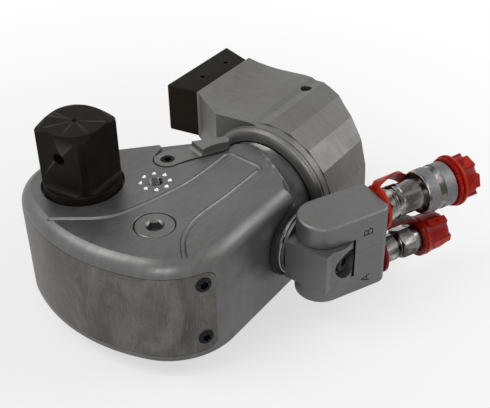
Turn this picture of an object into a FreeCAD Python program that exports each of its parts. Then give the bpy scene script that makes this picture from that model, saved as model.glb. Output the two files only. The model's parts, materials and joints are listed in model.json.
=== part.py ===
import FreeCAD
import Part
import Sketcher
import math
import os
from FreeCAD import Rotation, Vector

# Hydraulic torque wrench, lengths in millimetres and angles in degrees.
# The origin is the middle of the square drive on the flat top of the housing.
# X runs along the hydraulic cylinder, Z runs out along the square drive.

doc = FreeCAD.newDocument("torque_wrench")
sheet = doc.addObject("Spreadsheet::Sheet", "Sizes")


class Size:
    """A number that also knows the formula it comes from in the sheet."""

    def __init__(self, value, text):
        self.value = float(value)
        self.text = text

    def __add__(self, other):
        other = as_size(other)
        return Size(self.value + other.value, f"({self.text} + {other.text})")

    def __sub__(self, other):
        other = as_size(other)
        return Size(self.value - other.value, f"({self.text} - {other.text})")

    def __mul__(self, other):
        other = as_size(other)
        return Size(self.value * other.value, f"({self.text} * {other.text})")

    def __truediv__(self, other):
        other = as_size(other)
        return Size(self.value / other.value, f"({self.text} / {other.text})")

    def __radd__(self, other):
        return as_size(other) + self

    def __rsub__(self, other):
        return as_size(other) - self

    def __rmul__(self, other):
        return as_size(other) * self

    def __neg__(self):
        return as_size(0) - self


def as_size(number):
    if isinstance(number, Size):
        return number
    return Size(number, f"({number})" if number < 0 else f"{number}")


def cosine(angle):
    angle = as_size(angle)
    return Size(math.cos(math.radians(angle.value)), f"cos({angle.text})")


def sine(angle):
    angle = as_size(angle)
    return Size(math.sin(math.radians(angle.value)), f"sin({angle.text})")


def root(number):
    return Size(math.sqrt(number.value), f"sqrt({number.text})")


sheet_rows = 0


def size(name, value, meaning):
    """Writes one size into the sheet and gives it back for use in formulas."""
    global sheet_rows
    sheet_rows += 1
    sheet.set(f"A{sheet_rows}", meaning)
    sheet.set(f"B{sheet_rows}", str(value))
    sheet.setAlias(f"B{sheet_rows}", name)
    return Size(value, f"Sizes.{name}")


# Clearances shared by every pair that moves or mates.
running_gap = size("running_gap", 0.06, "radial play of turning and sliding fits")
free_gap = size("free_gap", 0.5, "air between pieces that pass each other")
seat_gap = size("seat_gap", 0.1, "play round a fastener or insert that is fixed")

# Housing and its plan outline.
housing_height = size("housing_height", 76, "height of the housing block")
edge_round = size("edge_round", 9, "rounding of the outer top and bottom edges")
nose_radius = size("nose_radius", 40, "radius of the nose round the drive axis")
wall_angle = size("wall_angle", 46.3, "direction of the outward side of the slanted wall")
nose_end_angle = size("nose_end_angle", 153.2, "angle where the nose radius ends")
side_start_length = size("side_start_length", 3.9, "straight piece after the nose")
side_radius = size("side_radius", 123, "large radius of the curved side")
side_turn = size("side_turn", 47.7, "turn of the large side radius")
corner_radius = size("corner_radius", 48.1, "radius of the rear corner of the side")
wall_end_x = size("wall_end_x", 88, "end of the slanted wall along X")
flat_side_x = size("flat_side_x", 70, "end of the flat side wall along X")
shoulder_middle_x = size("shoulder_middle_x", 81.6, "middle point of the shoulder")
shoulder_middle_y = size("shoulder_middle_y", -91.9, "middle point of the shoulder")
shoulder_end_x = size("shoulder_end_x", 98, "end of the top face along X")
shoulder_end_y = size("shoulder_end_y", -68, "end of the top face along Y")
top_corner_y = size("top_corner_y", -50, "corner of the top face by the release lever")

# Cylinder end of the housing.
cylinder_y = size("cylinder_y", -71, "cylinder axis along Y")
cylinder_z = -housing_height / 2
neck_start_x = size("neck_start_x", 62, "start of the neck inside the block")
ring_start_x = size("ring_start_x", 94, "start of the proud ring")
ring_proud = size("ring_proud", 2.1, "height of the ring over the barrel")
ring_end_x = size("ring_end_x", 99, "end of the proud ring")
barrel_radius = size("barrel_radius", 37.7, "outside of the splined barrel")
neck_radius = barrel_radius + 0.1
ring_radius = barrel_radius + ring_proud
barrel_end_x = size("barrel_end_x", 150, "rear end of the splined barrel")
spline_count = size("spline_count", 18, "number of spline grooves")
spline_depth = size("spline_depth", 2.4, "depth of the spline grooves")
spline_width = size("spline_width", 6, "width of the spline grooves")
bore_radius = size("bore_radius", 28, "bore of the cylinder")
bore_start_x = size("bore_start_x", 85, "closed end of the cylinder bore")
cap_start_x = size("cap_start_x", 138, "inner face of the cylinder end cap")
gland_radius = size("gland_radius", 19, "outside of the rod gland")
gland_start_x = size("gland_start_x", 74, "inner end of the rod gland")

# Chamber of the drive.
wall_top = size("wall_top", 15, "thickness of the wall above the chamber")
chamber_radius = size("chamber_radius", 38.6, "chamber radius round the drive axis")
chamber_right_x = size("chamber_right_x", 64, "chamber wall towards the cylinder")
chamber_left_x = size("chamber_left_x", -31, "chamber wall beyond the stroke")

# Drive train.
square_width = size("square_width", 38.1, "across the flats of the square drive")
square_turn = size("square_turn", 6.1, "rest angle of the square drive")
corner_turn_radius = size("corner_turn_radius", 25, "turned corners and collar of the drive")
drive_height = size("drive_height", 45.7, "flat end of the square drive")
drive_edge_height = size("drive_edge_height", 43.1, "start of the turned chamfer")
drive_flat_radius = size("drive_flat_radius", 19.2, "radius of the flat end disc")
collar_height = size("collar_height", 4.9, "top of the collar of the drive")
pin_hole_height = size("pin_hole_height", 27.9, "height of the socket pin hole")
pin_hole_radius = size("pin_hole_radius", 3.75, "radius of the socket pin hole")
lip_radius = size("lip_radius", 26.1, "opening round the drive collar")
lip_depth = size("lip_depth", 5.3, "depth of the lip over the bush")
hub_radius = size("hub_radius", 28.4, "outside of the ratchet hub")
bush_radius = size("bush_radius", 33, "outside of the drive bushes")
shaft_flats = size("shaft_flats", 34, "across the flats of the drive shaft")
ratchet_crest = size("ratchet_crest", 35, "crest radius of the ratchet")
ratchet_root = size("ratchet_root", 32.5, "root radius of the ratchet")
tooth_count = size("tooth_count", 30, "number of ratchet teeth")
plate_radius = size("plate_radius", 37.5, "ring radius of the drive plates")
plate_thickness = size("plate_thickness", 9, "thickness of a drive plate")
lever_radius = size("lever_radius", 68, "drive axis to rod pin")
lever_end_radius = size("lever_end_radius", 13, "rounded end of the drive plates")
lever_rest_angle = size("lever_rest_angle", 13, "rest angle of the drive plates")
rod_pin_radius = size("rod_pin_radius", 8, "radius of the rod pin")
pawl_pin_x = size("pawl_pin_x", 17.8, "drive pawl pin beside the lever line")
pawl_pin_drop = size("pawl_pin_drop", 20.5, "drive pawl pin short of the rod pin")
pawl_pin_y = pawl_pin_drop - lever_radius
pawl_pin_radius = size("pawl_pin_radius", 3.6, "radius of the drive pawl pin")
pawl_hub_radius = size("pawl_hub_radius", 6, "hub of the drive pawl")
pawl_clear = size("pawl_clear", 0.6, "air from pawl tip to ratchet crest")

# Piston and rod.
rod_radius = size("rod_radius", 13, "radius of the piston rod")
rod_block_length = size("rod_block_length", 24, "rod end block along X")
rod_block_wall = size("rod_block_wall", 6.5, "rod end block below the slot")
rod_block_lip = size("rod_block_lip", 3.2, "rod end block above the slot")
chamber_air = size("chamber_air", 2.5, "air below the rod end block")
piston_start_x = size("piston_start_x", 118, "front face of the piston at rest")
piston_length = size("piston_length", 18, "length of the piston")

# Holding pawl and release lever.
pivot_x = size("pivot_x", 51.4, "release lever pivot along X")
pivot_y = size("pivot_y", -27.7, "release lever pivot along Y")
pivot_radius = size("pivot_radius", 5, "radius of the pawl shaft")
recess_depth = size("recess_depth", 5, "depth of the lever recess")
lever_hub_radius = size("lever_hub_radius", 9, "round end of the release lever")
lever_top = size("lever_top", 1, "top of the flat part of the release lever")
lever_arm_top = size("lever_arm_top", 5.6, "top of the thick part of the release lever")

# Shroud round the nose.
shroud_top = size("shroud_top", -10, "upper edge of the nose shroud")
shroud_bottom = size("shroud_bottom", -65, "lower edge of the nose shroud")
shroud_wall = size("shroud_wall", 1.8, "thickness of the nose shroud")
shroud_end_x = size("shroud_end_x", -10.7, "end of the shroud on the flat side")
shroud_back_length = size("shroud_back_length", 40, "shroud length on the slanted wall")

# Top face details.
plug_x = size("plug_x", -8.5, "access plug along X")
plug_y = size("plug_y", -67, "access plug along Y")
plug_radius = size("plug_radius", 13, "radius of the access plug")
handle_x = size("handle_x", 26.9, "handle thread along X")
handle_y = size("handle_y", -38, "handle thread along Y")
handle_radius = size("handle_radius", 4.7, "wall radius of the handle thread")
handle_depth = size("handle_depth", 12, "depth of the handle thread")

# Reaction arm and pad.
arm_gap = size("arm_gap", 0.4, "air between arm and barrel")
arm_ring_wall = size("arm_ring_wall", 10.7, "wall of the turned arm ring")
facet_wall = size("facet_wall", 11.9, "wall of the flat sided barrel at its corners")
arm_bore = barrel_radius + arm_gap
arm_ring_radius = arm_bore + arm_ring_wall
facet_radius = arm_bore + facet_wall
arm_front_x = size("arm_front_x", 99.8, "front face of the arm ring")
facet_start_x = size("facet_start_x", 109.7, "start of the flat sided barrel")
arm_end_x = size("arm_end_x", 184, "rear face of the arm")
paddle_front_x = size("paddle_front_x", 106, "front face of the paddle")
pad_high_z = size("pad_high_z", 9.5, "upper face of the pad")
pad_low_z = size("pad_low_z", -27.5, "lower face of the pad")
pad_inner_y = size("pad_inner_y", 1, "joint face of arm and pad")
pad_outer_y = size("pad_outer_y", 25.4, "reaction face of the pad")
pad_inner_start_x = size("pad_inner_start_x", 120.3, "pad joint face start")
pad_inner_end_x = size("pad_inner_end_x", 180.5, "pad joint face end")
pad_outer_start_x = size("pad_outer_start_x", 116, "pad reaction face start")
pad_outer_end_x = size("pad_outer_end_x", 188.5, "pad reaction face end")
pad_pin_radius = size("pad_pin_radius", 2.2, "radius of the pad pins")
lock_x = size("lock_x", 166.8, "arm lock screw along X")
lock_y = size("lock_y", -61.7, "arm lock screw along Y")
lock_radius = size("lock_radius", 4, "radius of the arm lock screw")

# Swivel and yoke.
swivel_x = size("swivel_x", 68, "swivel post along X")
post_radius = size("post_radius", 7.5, "radius of the swivel post")
boss_radius = size("boss_radius", 24, "swivel boss of the housing")
boss_inset = size("boss_inset", 0.3236, "swivel boss face inside the side wall")
swivel_ring_radius = size("swivel_ring_radius", 25, "radius of the dark swivel ring")
swivel_ring_width = size("swivel_ring_width", 3, "width of the dark swivel ring")
swivel_disc_radius = size("swivel_disc_radius", 22, "radius of the bright swivel disc")
swivel_disc_width = size("swivel_disc_width", 2.6, "width of the bright swivel disc")
block_start = size("block_start", 8.6, "swivel boss to the near face of the block")
block_reach = size("block_reach", 39.2, "swivel boss to the far corner of the block")
block_left_x = size("block_left_x", 48, "left face of the swivel block")
block_radius = size("block_radius", 20.8, "rounded side of the swivel block")
block_half = size("block_half", 14.4, "half height of the swivel block")
yoke_reach = size("yoke_reach", 23, "swivel boss to the yoke axis")
yoke_angle = size("yoke_angle", -24.5, "rest direction of the yoke")
yoke_half = size("yoke_half", 16.7, "half width and end radius of the yoke")
yoke_length = size("yoke_length", 33.5, "yoke axis to the coupler face")
yoke_corner = size("yoke_corner", 5, "rounded corners of the coupler face")
yoke_rise = size("yoke_rise", 30, "half height of the yoke")
split_rise = size("split_rise", 4, "parting line above the middle")
yoke_slot_radius = size("yoke_slot_radius", 22.2, "slot wall round the yoke axis")
yoke_slot_gap = size("yoke_slot_gap", 0.4, "air above and below the swivel block")
trunnion_radius = size("trunnion_radius", 9, "radius of the yoke trunnions")
trunnion_length = size("trunnion_length", 5, "length of the yoke trunnions")
port_radius = size("port_radius", 6.5, "radius of the coupler threads")
port_b_rise = size("port_b_rise", 18.5, "upper coupler above the middle")
port_a_drop = size("port_a_drop", 19, "lower coupler below the middle")
yoke_top = cylinder_z + yoke_rise
yoke_bottom = cylinder_z - yoke_rise
yoke_split = cylinder_z + split_rise
port_b_z = cylinder_z + port_b_rise
port_a_z = cylinder_z - port_a_drop

# Couplers, straps and caps, distances from the yoke axis.
collar_b_radius = size("collar_b_radius", 9, "collar of the upper coupler")
collar_b_end = size("collar_b_end", 50, "end of the collar")
hex_b_flats = size("hex_b_flats", 22, "across the flats of the upper coupler")
hex_b_end = size("hex_b_end", 60, "end of the hexagon")
barrel_b_radius = size("barrel_b_radius", 10.65, "barrel of the upper coupler")
sleeve_b_start = size("sleeve_b_start", 74, "start of the locking sleeve")
sleeve_b_radius = size("sleeve_b_radius", 15.25, "outside of the locking sleeve")
face_b = size("face_b", 98, "mating face of the upper coupler")
mouth_b_radius = size("mouth_b_radius", 7.5, "mouth of the upper coupler")
cap_b_end = size("cap_b_end", 118, "end of the upper dust cap")
cap_b_flange = size("cap_b_flange", 16.5, "flange of the upper dust cap")
cap_b_radius = size("cap_b_radius", 15, "body of the upper dust cap")
collar_a_radius = size("collar_a_radius", 7.5, "collar of the lower coupler")
hex_a_start = size("hex_a_start", 52, "start of the adapter hexagon")
hex_a_flats = size("hex_a_flats", 17, "across the flats of the adapter")
neck_a_start = size("neck_a_start", 62, "end of the adapter hexagon")
nut_a_start = size("nut_a_start", 67, "start of the coupler hexagon")
nut_a_flats = size("nut_a_flats", 19, "across the flats of the lower coupler")
ring_a_start = size("ring_a_start", 76, "start of the round ring")
ring_a_radius = size("ring_a_radius", 9.6, "round ring of the lower coupler")
face_a = size("face_a", 82, "shoulder of the male nose")
nose_a_radius = size("nose_a_radius", 6.9, "male nose of the lower coupler")
nose_a_end = size("nose_a_end", 100, "end of the male nose")
cap_a_start = size("cap_a_start", 83, "start of the lower dust cap")
cap_a_end = size("cap_a_end", 104, "end of the lower dust cap")
cap_a_radius = size("cap_a_radius", 12.6, "outside of the lower dust cap")
strap_thickness = size("strap_thickness", 2, "thickness of the cap straps")
strap_width = size("strap_width", 9, "width of the cap straps")

housing_bottom = -housing_height
wall_bottom = wall_top + housing_bottom
seat_radius = nose_radius - shroud_wall
plate_upper_top = -(wall_top + 1)
plate_upper_low = plate_upper_top - plate_thickness
plate_lower_low = wall_bottom + 1
plate_lower_top = plate_lower_low + plate_thickness
ratchet_low = plate_lower_top + free_gap
ratchet_high = plate_upper_low - free_gap
pawl_low = ratchet_low + free_gap
pawl_high = ratchet_high - free_gap
rest_pin_x = lever_radius * sine(lever_rest_angle)
slot_low_y = -lever_radius - rod_pin_radius - 3 * free_gap
slot_high_y = rod_pin_radius + 2 * free_gap - lever_radius * cosine(lever_rest_angle)
rod_block_low_y = slot_low_y - rod_block_wall
rod_block_high_y = slot_high_y + rod_block_lip
chamber_low_y = rod_block_low_y - chamber_air

PLAN_PLANE = "XY_Plane"
SIDE_PLANE = "XZ_Plane"
END_PLANE = "YZ_Plane"


def bind(thing, name, amount):
    """Ties one property of an object to a formula of the sheet."""
    thing.setExpression(name, as_size(amount).text)


def new_body(label, frame=None):
    """Starts a body, its frame is x, y, z and the turn about Z."""
    body = doc.addObject("PartDesign::Body", label)
    body.Label = label
    if frame:
        body.Placement.Rotation = Rotation(Vector(0, 0, 1), 1)
        for axis, amount in zip("xyz", frame[:3]):
            bind(body, f".Placement.Base.{axis}", amount)
        bind(body, ".Placement.Rotation.Angle", frame[3])
    return body


def origin_feature(body, role):
    for feature in body.Origin.OriginFeatures:
        if feature.Role == role:
            return feature
    raise ValueError(role)


def circle(x, y, radius):
    return ("circle", as_size(x), as_size(y), as_size(radius))


def outline(*corners):
    """Each corner is x, y and either a rounding or an arc to the next corner."""
    listed = []
    for corner in corners:
        x, y = as_size(corner[0]), as_size(corner[1])
        kind = corner[2] if len(corner) > 2 else "sharp"
        amount = as_size(corner[3]) if len(corner) > 3 else None
        listed.append((x, y, kind, amount))
    return ("outline", listed)


def box_outline(low_x, low_y, high_x, high_y):
    return outline((low_x, low_y), (high_x, low_y), (high_x, high_y), (low_x, high_y))


def hexagon(x, y, flats, turn=0):
    corner = as_size(flats) / (2 * cosine(30))
    points = []
    for step in range(6):
        angle = 60 * step + turn
        points.append((x + corner * cosine(angle), y + corner * sine(angle)))
    return outline(*points)


def hold_point(constraints, formulas, geometry, end, x, y):
    """Fixes one sketch point by its two distances from the sketch origin."""
    for kind, amount in (("DistanceX", x), ("DistanceY", y)):
        formulas.append((len(constraints), amount))
        constraints.append(Sketcher.Constraint(kind, -1, 1, geometry, end, amount.value))


def arc_centre(start, end, radius, turn):
    """Centre of an arc, turn is left for anticlockwise or right for clockwise."""
    middle = (start + end) * 0.5
    chord = end - start
    rise = math.sqrt(max(radius * radius - chord.Length ** 2 / 4, 0))
    normal = Vector(-chord.y, chord.x, 0).normalize()
    return middle + normal * (rise if turn == "left" else -rise)


def draw_loop(loop, first, geometry, constraints, formulas, helpers):
    """Adds the curves and constraints of one closed loop."""
    if loop[0] == "circle":
        _, x, y, radius = loop
        geometry.append(Part.Circle(Vector(x.value, y.value), Vector(0, 0, 1), radius.value))
        hold_point(constraints, formulas, first, 3, x, y)
        formulas.append((len(constraints), radius))
        constraints.append(Sketcher.Constraint("Radius", first, radius.value))
        return
    corners = loop[1]
    count = len(corners)
    points = [Vector(corner[0].value, corner[1].value) for corner in corners]
    starts, ends, rounds = list(points), list(points), {}
    for index, corner in enumerate(corners):
        if corner[2] != "round":
            continue
        back = (points[index - 1] - points[index]).normalize()
        ahead = (points[(index + 1) % count] - points[index]).normalize()
        half = back.getAngle(ahead) / 2
        reach = corner[3].value / math.tan(half)
        ends[index] = points[index] + back * reach
        starts[index] = points[index] + ahead * reach
        bisector = (back + ahead).normalize()
        rounds[index] = points[index] + bisector * (corner[3].value / math.sin(half))
    edges = []
    for index, corner in enumerate(corners):
        start, end = starts[index], ends[(index + 1) % count]
        edges.append((len(geometry), "forward"))
        if corner[2] in ("left", "right"):
            radius = corner[3].value
            centre = arc_centre(start, end, radius, corner[2])
            ring = Part.Circle(centre, Vector(0, 0, 1), radius)
            first_angle = math.atan2(start.y - centre.y, start.x - centre.x)
            last_angle = math.atan2(end.y - centre.y, end.x - centre.x)
            if corner[2] == "right":
                first_angle, last_angle = last_angle, first_angle
                edges[-1] = (len(geometry), "backward")
            while last_angle < first_angle:
                last_angle += 2 * math.pi
            formulas.append((len(constraints), corner[3]))
            constraints.append(Sketcher.Constraint("Radius", len(geometry), radius))
            geometry.append(Part.ArcOfCircle(ring, first_angle, last_angle))
        else:
            geometry.append(Part.LineSegment(start, end))
    for index, corner in enumerate(corners):
        edge, way = edges[index]
        before, before_way = edges[index - 1]
        start_end = 1 if way == "forward" else 2
        finish_end = 2 if before_way == "forward" else 1
        if index not in rounds:
            hold_point(constraints, formulas, edge, start_end, corner[0], corner[1])
            constraints.append(
                Sketcher.Constraint("Coincident", before, finish_end, edge, start_end))
            continue
        centre, radius = rounds[index], corner[3].value
        first_angle = math.atan2(ends[index].y - centre.y, ends[index].x - centre.x)
        last_angle = math.atan2(starts[index].y - centre.y, starts[index].x - centre.x)
        turn = (points[index] - points[index - 1]).cross(
            points[(index + 1) % count] - points[index]).z
        into, out = (1, 2) if turn > 0 else (2, 1)
        if turn < 0:
            first_angle, last_angle = last_angle, first_angle
        while last_angle < first_angle:
            last_angle += 2 * math.pi
        ring = Part.Circle(centre, Vector(0, 0, 1), radius)
        number = len(geometry)
        geometry.append(Part.ArcOfCircle(ring, first_angle, last_angle))
        formulas.append((len(constraints), corner[3]))
        constraints.append(Sketcher.Constraint("Radius", number, radius))
        constraints.append(Sketcher.Constraint("Tangent", before, finish_end, number, into))
        constraints.append(Sketcher.Constraint("Tangent", number, out, edge, start_end))
        helper = len(geometry)
        geometry.append(Part.Point(points[index]))
        helpers.append(helper)
        hold_point(constraints, formulas, helper, 1, corner[0], corner[1])
        constraints.append(Sketcher.Constraint("PointOnObject", helper, 1, before))
        constraints.append(Sketcher.Constraint("PointOnObject", helper, 1, edge))


def new_sketch(body, plane, at, loops, centre=(0, 0)):
    """Draws loops on a plane of the body, moved along its normal and centre."""
    sketch = body.newObject("Sketcher::SketchObject", "outline")
    sketch.AttachmentSupport = [(origin_feature(body, plane), "")]
    sketch.MapMode = "FlatFace"
    geometry, constraints, formulas, helpers = [], [], [], []
    for loop in loops:
        draw_loop(loop, len(geometry), geometry, constraints, formulas, helpers)
    for number, curve in enumerate(geometry):
        sketch.addGeometry(curve, number in helpers)
    sketch.addConstraint(constraints)
    for number, amount in formulas:
        if "Sizes" in amount.text:
            sketch.setExpression(f"Constraints[{number}]", amount.text)
    height = -as_size(at) if plane == SIDE_PLANE else as_size(at)
    bind(sketch, "AttachmentOffset.Base.x", centre[0])
    bind(sketch, "AttachmentOffset.Base.y", centre[1])
    bind(sketch, "AttachmentOffset.Base.z", height)
    return sketch


def pad(body, plane, low, high, loops, centre=(0, 0)):
    """Adds material between two positions along the plane's axis."""
    at = high if plane == SIDE_PLANE else low
    sketch = new_sketch(body, plane, at, loops, centre)
    feature = body.newObject("PartDesign::Pad", "added")
    feature.Profile = sketch
    bind(feature, "Length", as_size(high) - low)
    body.Tip = feature
    return feature


def pocket(body, plane, low, high, loops, centre=(0, 0)):
    """Removes material between two positions along the plane's axis."""
    at = low if plane == SIDE_PLANE else high
    sketch = new_sketch(body, plane, at, loops, centre)
    feature = body.newObject("PartDesign::Pocket", "removed")
    feature.Profile = sketch
    bind(feature, "Length", as_size(high) - low)
    body.Tip = feature
    return feature


def turned(body, axis, corners, kind="PartDesign::Revolution"):
    """Turns an outline round an axis of the body, corners are along and radius."""
    if axis == "X":
        loops, plane = [outline(*corners)], PLAN_PLANE
    else:
        loops = [outline(*[(corner[1], corner[0]) for corner in corners])]
        plane = PLAN_PLANE if axis == "Y" else SIDE_PLANE
    sketch = new_sketch(body, plane, 0, loops)
    name = "turned_away" if kind.endswith("Groove") else "turned"
    feature = body.newObject(kind, name)
    feature.Profile = sketch
    feature.ReferenceAxis = (origin_feature(body, f"{axis}_Axis"), [""])
    feature.Angle = 360
    body.Tip = feature
    return feature


def pattern(body, feature, axis, count):
    """Repeats the last feature all round an axis."""
    repeated = body.newObject("PartDesign::PolarPattern", "repeated")
    repeated.Originals = [feature]
    repeated.Axis = axis
    repeated.Angle = 360
    bind(repeated, "Occurrences", count)
    body.Tip = repeated
    return repeated


def ring_body(label, axis, start, end, inner, outer, frame=None):
    """A plain turned ring along one axis of its frame."""
    body = new_body(label, frame)
    turned(body, axis, [(start, inner), (end, inner), (end, outer), (start, outer)])
    return body


def screw(label, places, head_radius, head_length, radius, length, socket):
    """Socket head screws in one node, each place is x, y, z and a direction."""
    solids = []
    for number, (x, y, z, way) in enumerate(places):
        head = doc.addObject("Part::Cylinder", f"{label}_head_{number}")
        bind(head, "Radius", head_radius)
        bind(head, "Height", head_length)
        bind(head, ".Placement.Base.z", -as_size(head_length))
        shank = doc.addObject("Part::Cylinder", f"{label}_shank_{number}")
        bind(shank, "Radius", radius)
        bind(shank, "Height", length)
        bind(shank, ".Placement.Base.z", -(as_size(head_length) + length))
        drive = doc.addObject("Part::Prism", f"{label}_socket_{number}")
        drive.Polygon = 6
        bind(drive, "Circumradius", socket)
        bind(drive, "Height", head_length)
        bind(drive, ".Placement.Base.z", -(as_size(head_length) * 0.6))
        whole = doc.addObject("Part::Fuse", f"{label}_whole_{number}")
        whole.Base, whole.Tool = head, shank
        cut = doc.addObject("Part::Cut", f"{label}_cut_{number}")
        cut.Base, cut.Tool = whole, drive
        cut.Placement.Rotation = Rotation(Vector(0, 0, 1), Vector(*way))
        for axis, amount in zip("xyz", (x, y, z)):
            bind(cut, f".Placement.Base.{axis}", amount)
        solids.append(cut)
    group = doc.addObject("Part::Compound", label)
    group.Links = solids
    return group


nodes = {}


def keep(label, thing):
    """Marks an object as one finished piece of the wrench."""
    thing.Label = label
    nodes[label] = thing
    return thing


# Corner points of the plan outline, found by walking round it.
nose_start = (nose_radius * cosine(wall_angle), nose_radius * sine(wall_angle))
nose_end = (nose_radius * cosine(nose_end_angle), nose_radius * sine(nose_end_angle))
side_heading = nose_end_angle + 90
side_start = (nose_end[0] + side_start_length * cosine(side_heading),
              nose_end[1] + side_start_length * sine(side_heading))
corner_heading = side_heading + side_turn


def walk_arc(start, radius, first, last):
    return (start[0] + radius * (sine(last) - sine(first)),
            start[1] + radius * (cosine(first) - cosine(last)))


corner_start = walk_arc(side_start, side_radius, side_heading, corner_heading)
flat_start = walk_arc(corner_start, corner_radius, corner_heading, 360)
boss_face_y = flat_start[1] + boss_inset
block_face_y = boss_face_y - block_start
block_far_y = boss_face_y - block_reach
yoke_pin_y = boss_face_y - yoke_reach
wall_end_y = nose_start[1] - (wall_end_x - nose_start[0]) * cosine(wall_angle) / sine(wall_angle)


def shroud_line(inset):
    """Plan points of the outline moved inward, from the slanted wall to the flat."""
    back = (nose_start[0] + shroud_back_length * sine(wall_angle) - inset * cosine(wall_angle),
            nose_start[1] - shroud_back_length * cosine(wall_angle) - inset * sine(wall_angle))
    one = ((nose_radius - inset) * cosine(wall_angle), (nose_radius - inset) * sine(wall_angle))
    two = ((nose_radius - inset) * cosine(nose_end_angle),
           (nose_radius - inset) * sine(nose_end_angle))
    three = (side_start[0] - inset * cosine(nose_end_angle),
             side_start[1] - inset * sine(nose_end_angle))
    four = (corner_start[0] - inset * cosine(corner_heading - 90),
            corner_start[1] - inset * sine(corner_heading - 90))
    centre = (flat_start[0], flat_start[1] + corner_radius)
    rise = corner_radius - inset
    five = (shroud_end_x,
            centre[1] - root(rise * rise - (shroud_end_x - centre[0]) * (shroud_end_x - centre[0])))
    return back, one, two, three, four, five


def shroud_band(outer_inset, inner_inset):
    """Closed band between two insets of the outline."""
    a, b, c, d, e, f = shroud_line(outer_inset)
    g, h, i, j, k, l = shroud_line(inner_inset)
    return outline(
        a, (*b, "left", nose_radius - outer_inset), c, (*d, "left", side_radius - outer_inset),
        (*e, "left", corner_radius - outer_inset), f,
        (*l, "right", corner_radius - inner_inset), (*k, "right", side_radius - inner_inset),
        j, (*i, "right", nose_radius - inner_inset), h, g)


# Housing block with its rounded outer edges.
housing = new_body("housing")
block = pad(housing, PLAN_PLANE, housing_bottom, 0, [outline(
    (*nose_start, "left", nose_radius), nose_end, (*side_start, "left", side_radius),
    (*corner_start, "left", corner_radius), flat_start,
    (flat_side_x, boss_face_y + 0.6), (shoulder_middle_x, shoulder_middle_y),
    (shoulder_end_x, shoulder_end_y), (shoulder_end_x - 1, shoulder_end_y + 8),
    (wall_end_x, top_corner_y), (wall_end_x, wall_end_y))])
doc.recompute()
round_edges = []
for number, edge in enumerate(block.Shape.Edges, 1):
    box = edge.BoundBox
    level = box.ZLength < 0.01
    outside = box.XMin < flat_side_x.value - 1 and not (box.XMin > 60 and box.XMax > 80)
    if level and outside:
        round_edges.append(f"Edge{number}")
rounding = housing.newObject("PartDesign::Fillet", "rounded")
rounding.Base = (block, round_edges)
bind(rounding, "Radius", edge_round)
housing.Tip = rounding

# Neck, ring and splined barrel of the cylinder.
barrel_centre = (cylinder_y, cylinder_z)
pad(housing, END_PLANE, neck_start_x, ring_start_x + 1,
    [circle(cylinder_y, cylinder_z, neck_radius)])
pad(housing, END_PLANE, ring_start_x, ring_end_x, [circle(cylinder_y, cylinder_z, ring_radius)])
pad(housing, END_PLANE, ring_end_x - 1, barrel_end_x,
    [circle(cylinder_y, cylinder_z, barrel_radius)])
pad(housing, SIDE_PLANE, boss_face_y, cylinder_y - 15,
    [circle(swivel_x, cylinder_z, boss_radius)])
groove = pocket(housing, END_PLANE, ring_end_x + 2, barrel_end_x + 1,
                [box_outline(-spline_width / 2, barrel_radius - spline_depth,
                             spline_width / 2, barrel_radius + 5)], barrel_centre)
pattern(housing, groove, (groove.Profile[0], ["N_Axis"]), spline_count)

# Cylinder bore, gland seat and rod hole.
pocket(housing, END_PLANE, bore_start_x, barrel_end_x,
       [circle(cylinder_y, cylinder_z, bore_radius)])
pocket(housing, END_PLANE, gland_start_x, bore_start_x,
       [circle(cylinder_y, cylinder_z, gland_radius)])
pocket(housing, END_PLANE, chamber_right_x - 1, gland_start_x,
       [circle(cylinder_y, cylinder_z, rod_radius + 2 * free_gap)])

# Chamber of the drive and the seat of the nose shroud.
pocket(housing, PLAN_PLANE, wall_bottom, -wall_top, [outline(
    (chamber_left_x, chamber_low_y), (chamber_right_x, chamber_low_y),
    (chamber_right_x, -16), (42, -15), (chamber_radius, 0, "left", chamber_radius),
    (0, chamber_radius, "left", chamber_radius), (-chamber_radius, 0), (-chamber_radius, -16), (chamber_left_x, -60))])
pocket(housing, PLAN_PLANE, shroud_bottom, shroud_top, [shroud_band(-3, shroud_wall)])

# Openings round the drive.
pocket(housing, PLAN_PLANE, -wall_top, -lip_depth, [circle(0, 0, bush_radius)])
pocket(housing, PLAN_PLANE, -lip_depth, 0, [circle(0, 0, lip_radius)])
pocket(housing, PLAN_PLANE, housing_bottom + lip_depth, wall_bottom,
       [circle(0, 0, bush_radius)])
pocket(housing, PLAN_PLANE, housing_bottom, housing_bottom + lip_depth,
       [circle(0, 0, lip_radius)])

# Release lever recess, pawl shaft bearing, plug and handle thread.
pocket(housing, PLAN_PLANE, -recess_depth, 0, [outline(
    (pivot_x, pivot_y + lever_hub_radius + free_gap),
    (pivot_x - 1.4, pivot_y - lever_hub_radius - 1), (64.1, -44.6), (81.5, -54), (99, -56),
    (99, -15), (70, 8), (60.4, -15.1))])
pocket(housing, PLAN_PLANE, -recess_depth, 0,
       [circle(pivot_x, pivot_y, lever_hub_radius + free_gap)])
pocket(housing, PLAN_PLANE, housing_bottom + 6, -recess_depth,
       [circle(pivot_x, pivot_y, pivot_radius + running_gap)])
pocket(housing, PLAN_PLANE, -wall_top, 0, [circle(plug_x, plug_y, plug_radius)])
pocket(housing, PLAN_PLANE, -handle_depth, 0, [circle(handle_x, handle_y, handle_radius)])

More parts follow.
